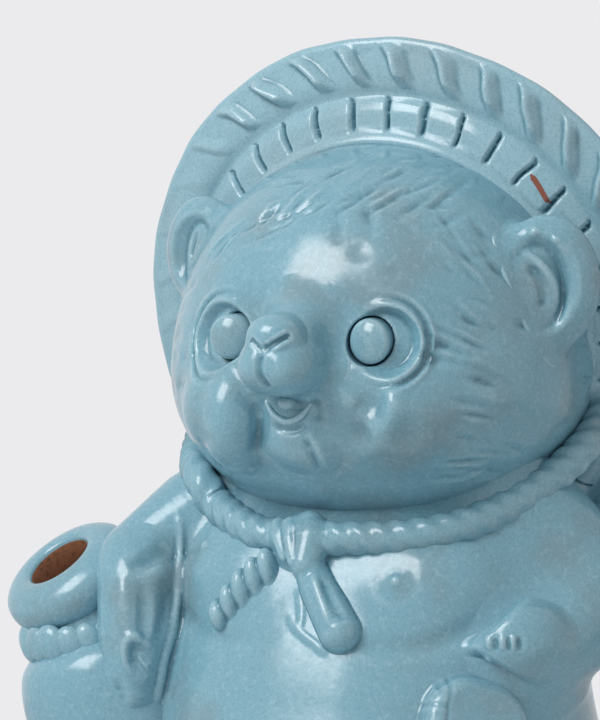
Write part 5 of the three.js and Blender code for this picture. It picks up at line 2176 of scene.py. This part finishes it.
@dataclass
class Studio:
    """A pale floor, one large softbox high on the left, and a camera at the photograph's angle."""

    key_direction: Point = (-0.594, 0.611, 0.524)
    key_size: float = 0.54
    key_power: float = 6.9
    fill_power: float = 0.5
    surround: float = 0.4
    background: str = "#EBEBED"
    floor_radius: float = 460.0

    def lamp(self, name: str, direction: Vector, distance: float, size: float, power: float) -> None:
        """Adds a square softbox that faces the figure.

        Args:
            name: its name.
            direction: from the figure to it.
            distance: how far away, in metres.
            size: its side, in metres.
            power: its power, in watts.
        """
        light = bpy.data.lights.new(name, "AREA")
        light.shape = "SQUARE"
        light.size = size
        light.energy = power
        lamp = bpy.data.objects.new(name, light)
        lamp.location = Vector(VIEW.aim) * MM + direction.normalized() * distance
        lamp.rotation_euler = direction.to_track_quat("Z", "Y").to_euler()
        bpy.context.scene.collection.objects.link(lamp)

    def build(self) -> None:
        """Sets up the camera, the lights, the floor and the surroundings."""
        scene = bpy.context.scene
        scene.view_settings.view_transform = "Standard"
        right, up, back = (Vector(axis) for axis in VIEW.axes().T.tolist())
        data = bpy.data.cameras.new("camera")
        data.sensor_fit = "VERTICAL"
        data.sensor_height = VIEW.sensor
        data.lens = VIEW.lens
        data.clip_end = 50.0
        camera = bpy.data.objects.new("camera", data)
        camera.location = (Vector(VIEW.aim) + back * VIEW.distance) * MM
        camera.rotation_euler = back.to_track_quat("Z", "Y").to_euler()
        scene.collection.objects.link(camera)
        scene.camera = camera
        x, y, z = self.key_direction
        self.lamp("softbox", right * x + up * y + back * z, 1.0, self.key_size, self.key_power)
        self.lamp("reflector", right * 0.8 + up * 0.1 + back * 0.5, 1.3, 0.9, self.fill_power)
        self.floor()
        self.world()

    def floor(self) -> None:
        """Lays a pale round sheet under the figure."""
        made, tree, shader, at = new_material("pale_paper")
        fibre = add(tree, "ShaderNodeTexNoise", {"Vector": at, "Scale": 400.0, "Detail": 3.0})
        tints = {0: fibre, 6: linear("#E9E9EB"), 7: linear("#EDEDEF")}
        tree.links.new(add(tree, "ShaderNodeMix", tints, 2, data_type="RGBA"), shader.inputs["Base Color"])
        shader.inputs["Roughness"].default_value = 0.9
        angle = np.linspace(0, 2 * math.pi, 96, endpoint=False)
        circle = np.column_stack([np.cos(angle), np.sin(angle), np.zeros(96)]) * self.floor_radius
        mesh = mesh_of("floor", circle, np.arange(96)[None])
        mesh.materials.append(made)
        sheet = bpy.data.objects.new("floor", mesh)
        bpy.context.scene.collection.objects.link(sheet)

    def world(self) -> None:
        """Gives soft light from all round, and a pale background to the camera and to reflections."""
        made = bpy.data.worlds.new("studio")
        made.use_nodes = True
        bpy.context.scene.world = made
        tree = made.node_tree
        tree.nodes.clear()
        path = tree.nodes.new("ShaderNodeLightPath").outputs
        shown = path["Is Camera Ray"]
        for ray in ("Is Glossy Ray", "Is Transmission Ray"):
            shown = add(tree, "ShaderNodeMath", {0: shown, 1: path[ray]}, operation="MAXIMUM")
        light = add(tree, "ShaderNodeBackground", {"Color": DAYLIGHT, "Strength": self.surround})
        paper = add(tree, "ShaderNodeBackground", {"Color": linear(self.background), "Strength": 1.0})
        mix = add(tree, "ShaderNodeMixShader", {0: shown, 1: light, 2: paper})
        add(tree, "ShaderNodeOutputWorld", {"Surface": mix})


def main() -> None:
    """Builds the whole figure in its studio."""
    logging.basicConfig(level=logging.INFO, format="%(name)s: %(message)s")
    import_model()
    Studio().build()
    kiln = Kiln()
    for assembly in (Torso(), Head(), Hat(), Cord(), Arms(), AccountBook(), Flask(), FeetAndTail()):
        LOG.info("%s", type(assembly).__name__)
        assembly.build(kiln)


if __name__ == "__main__":
    main()
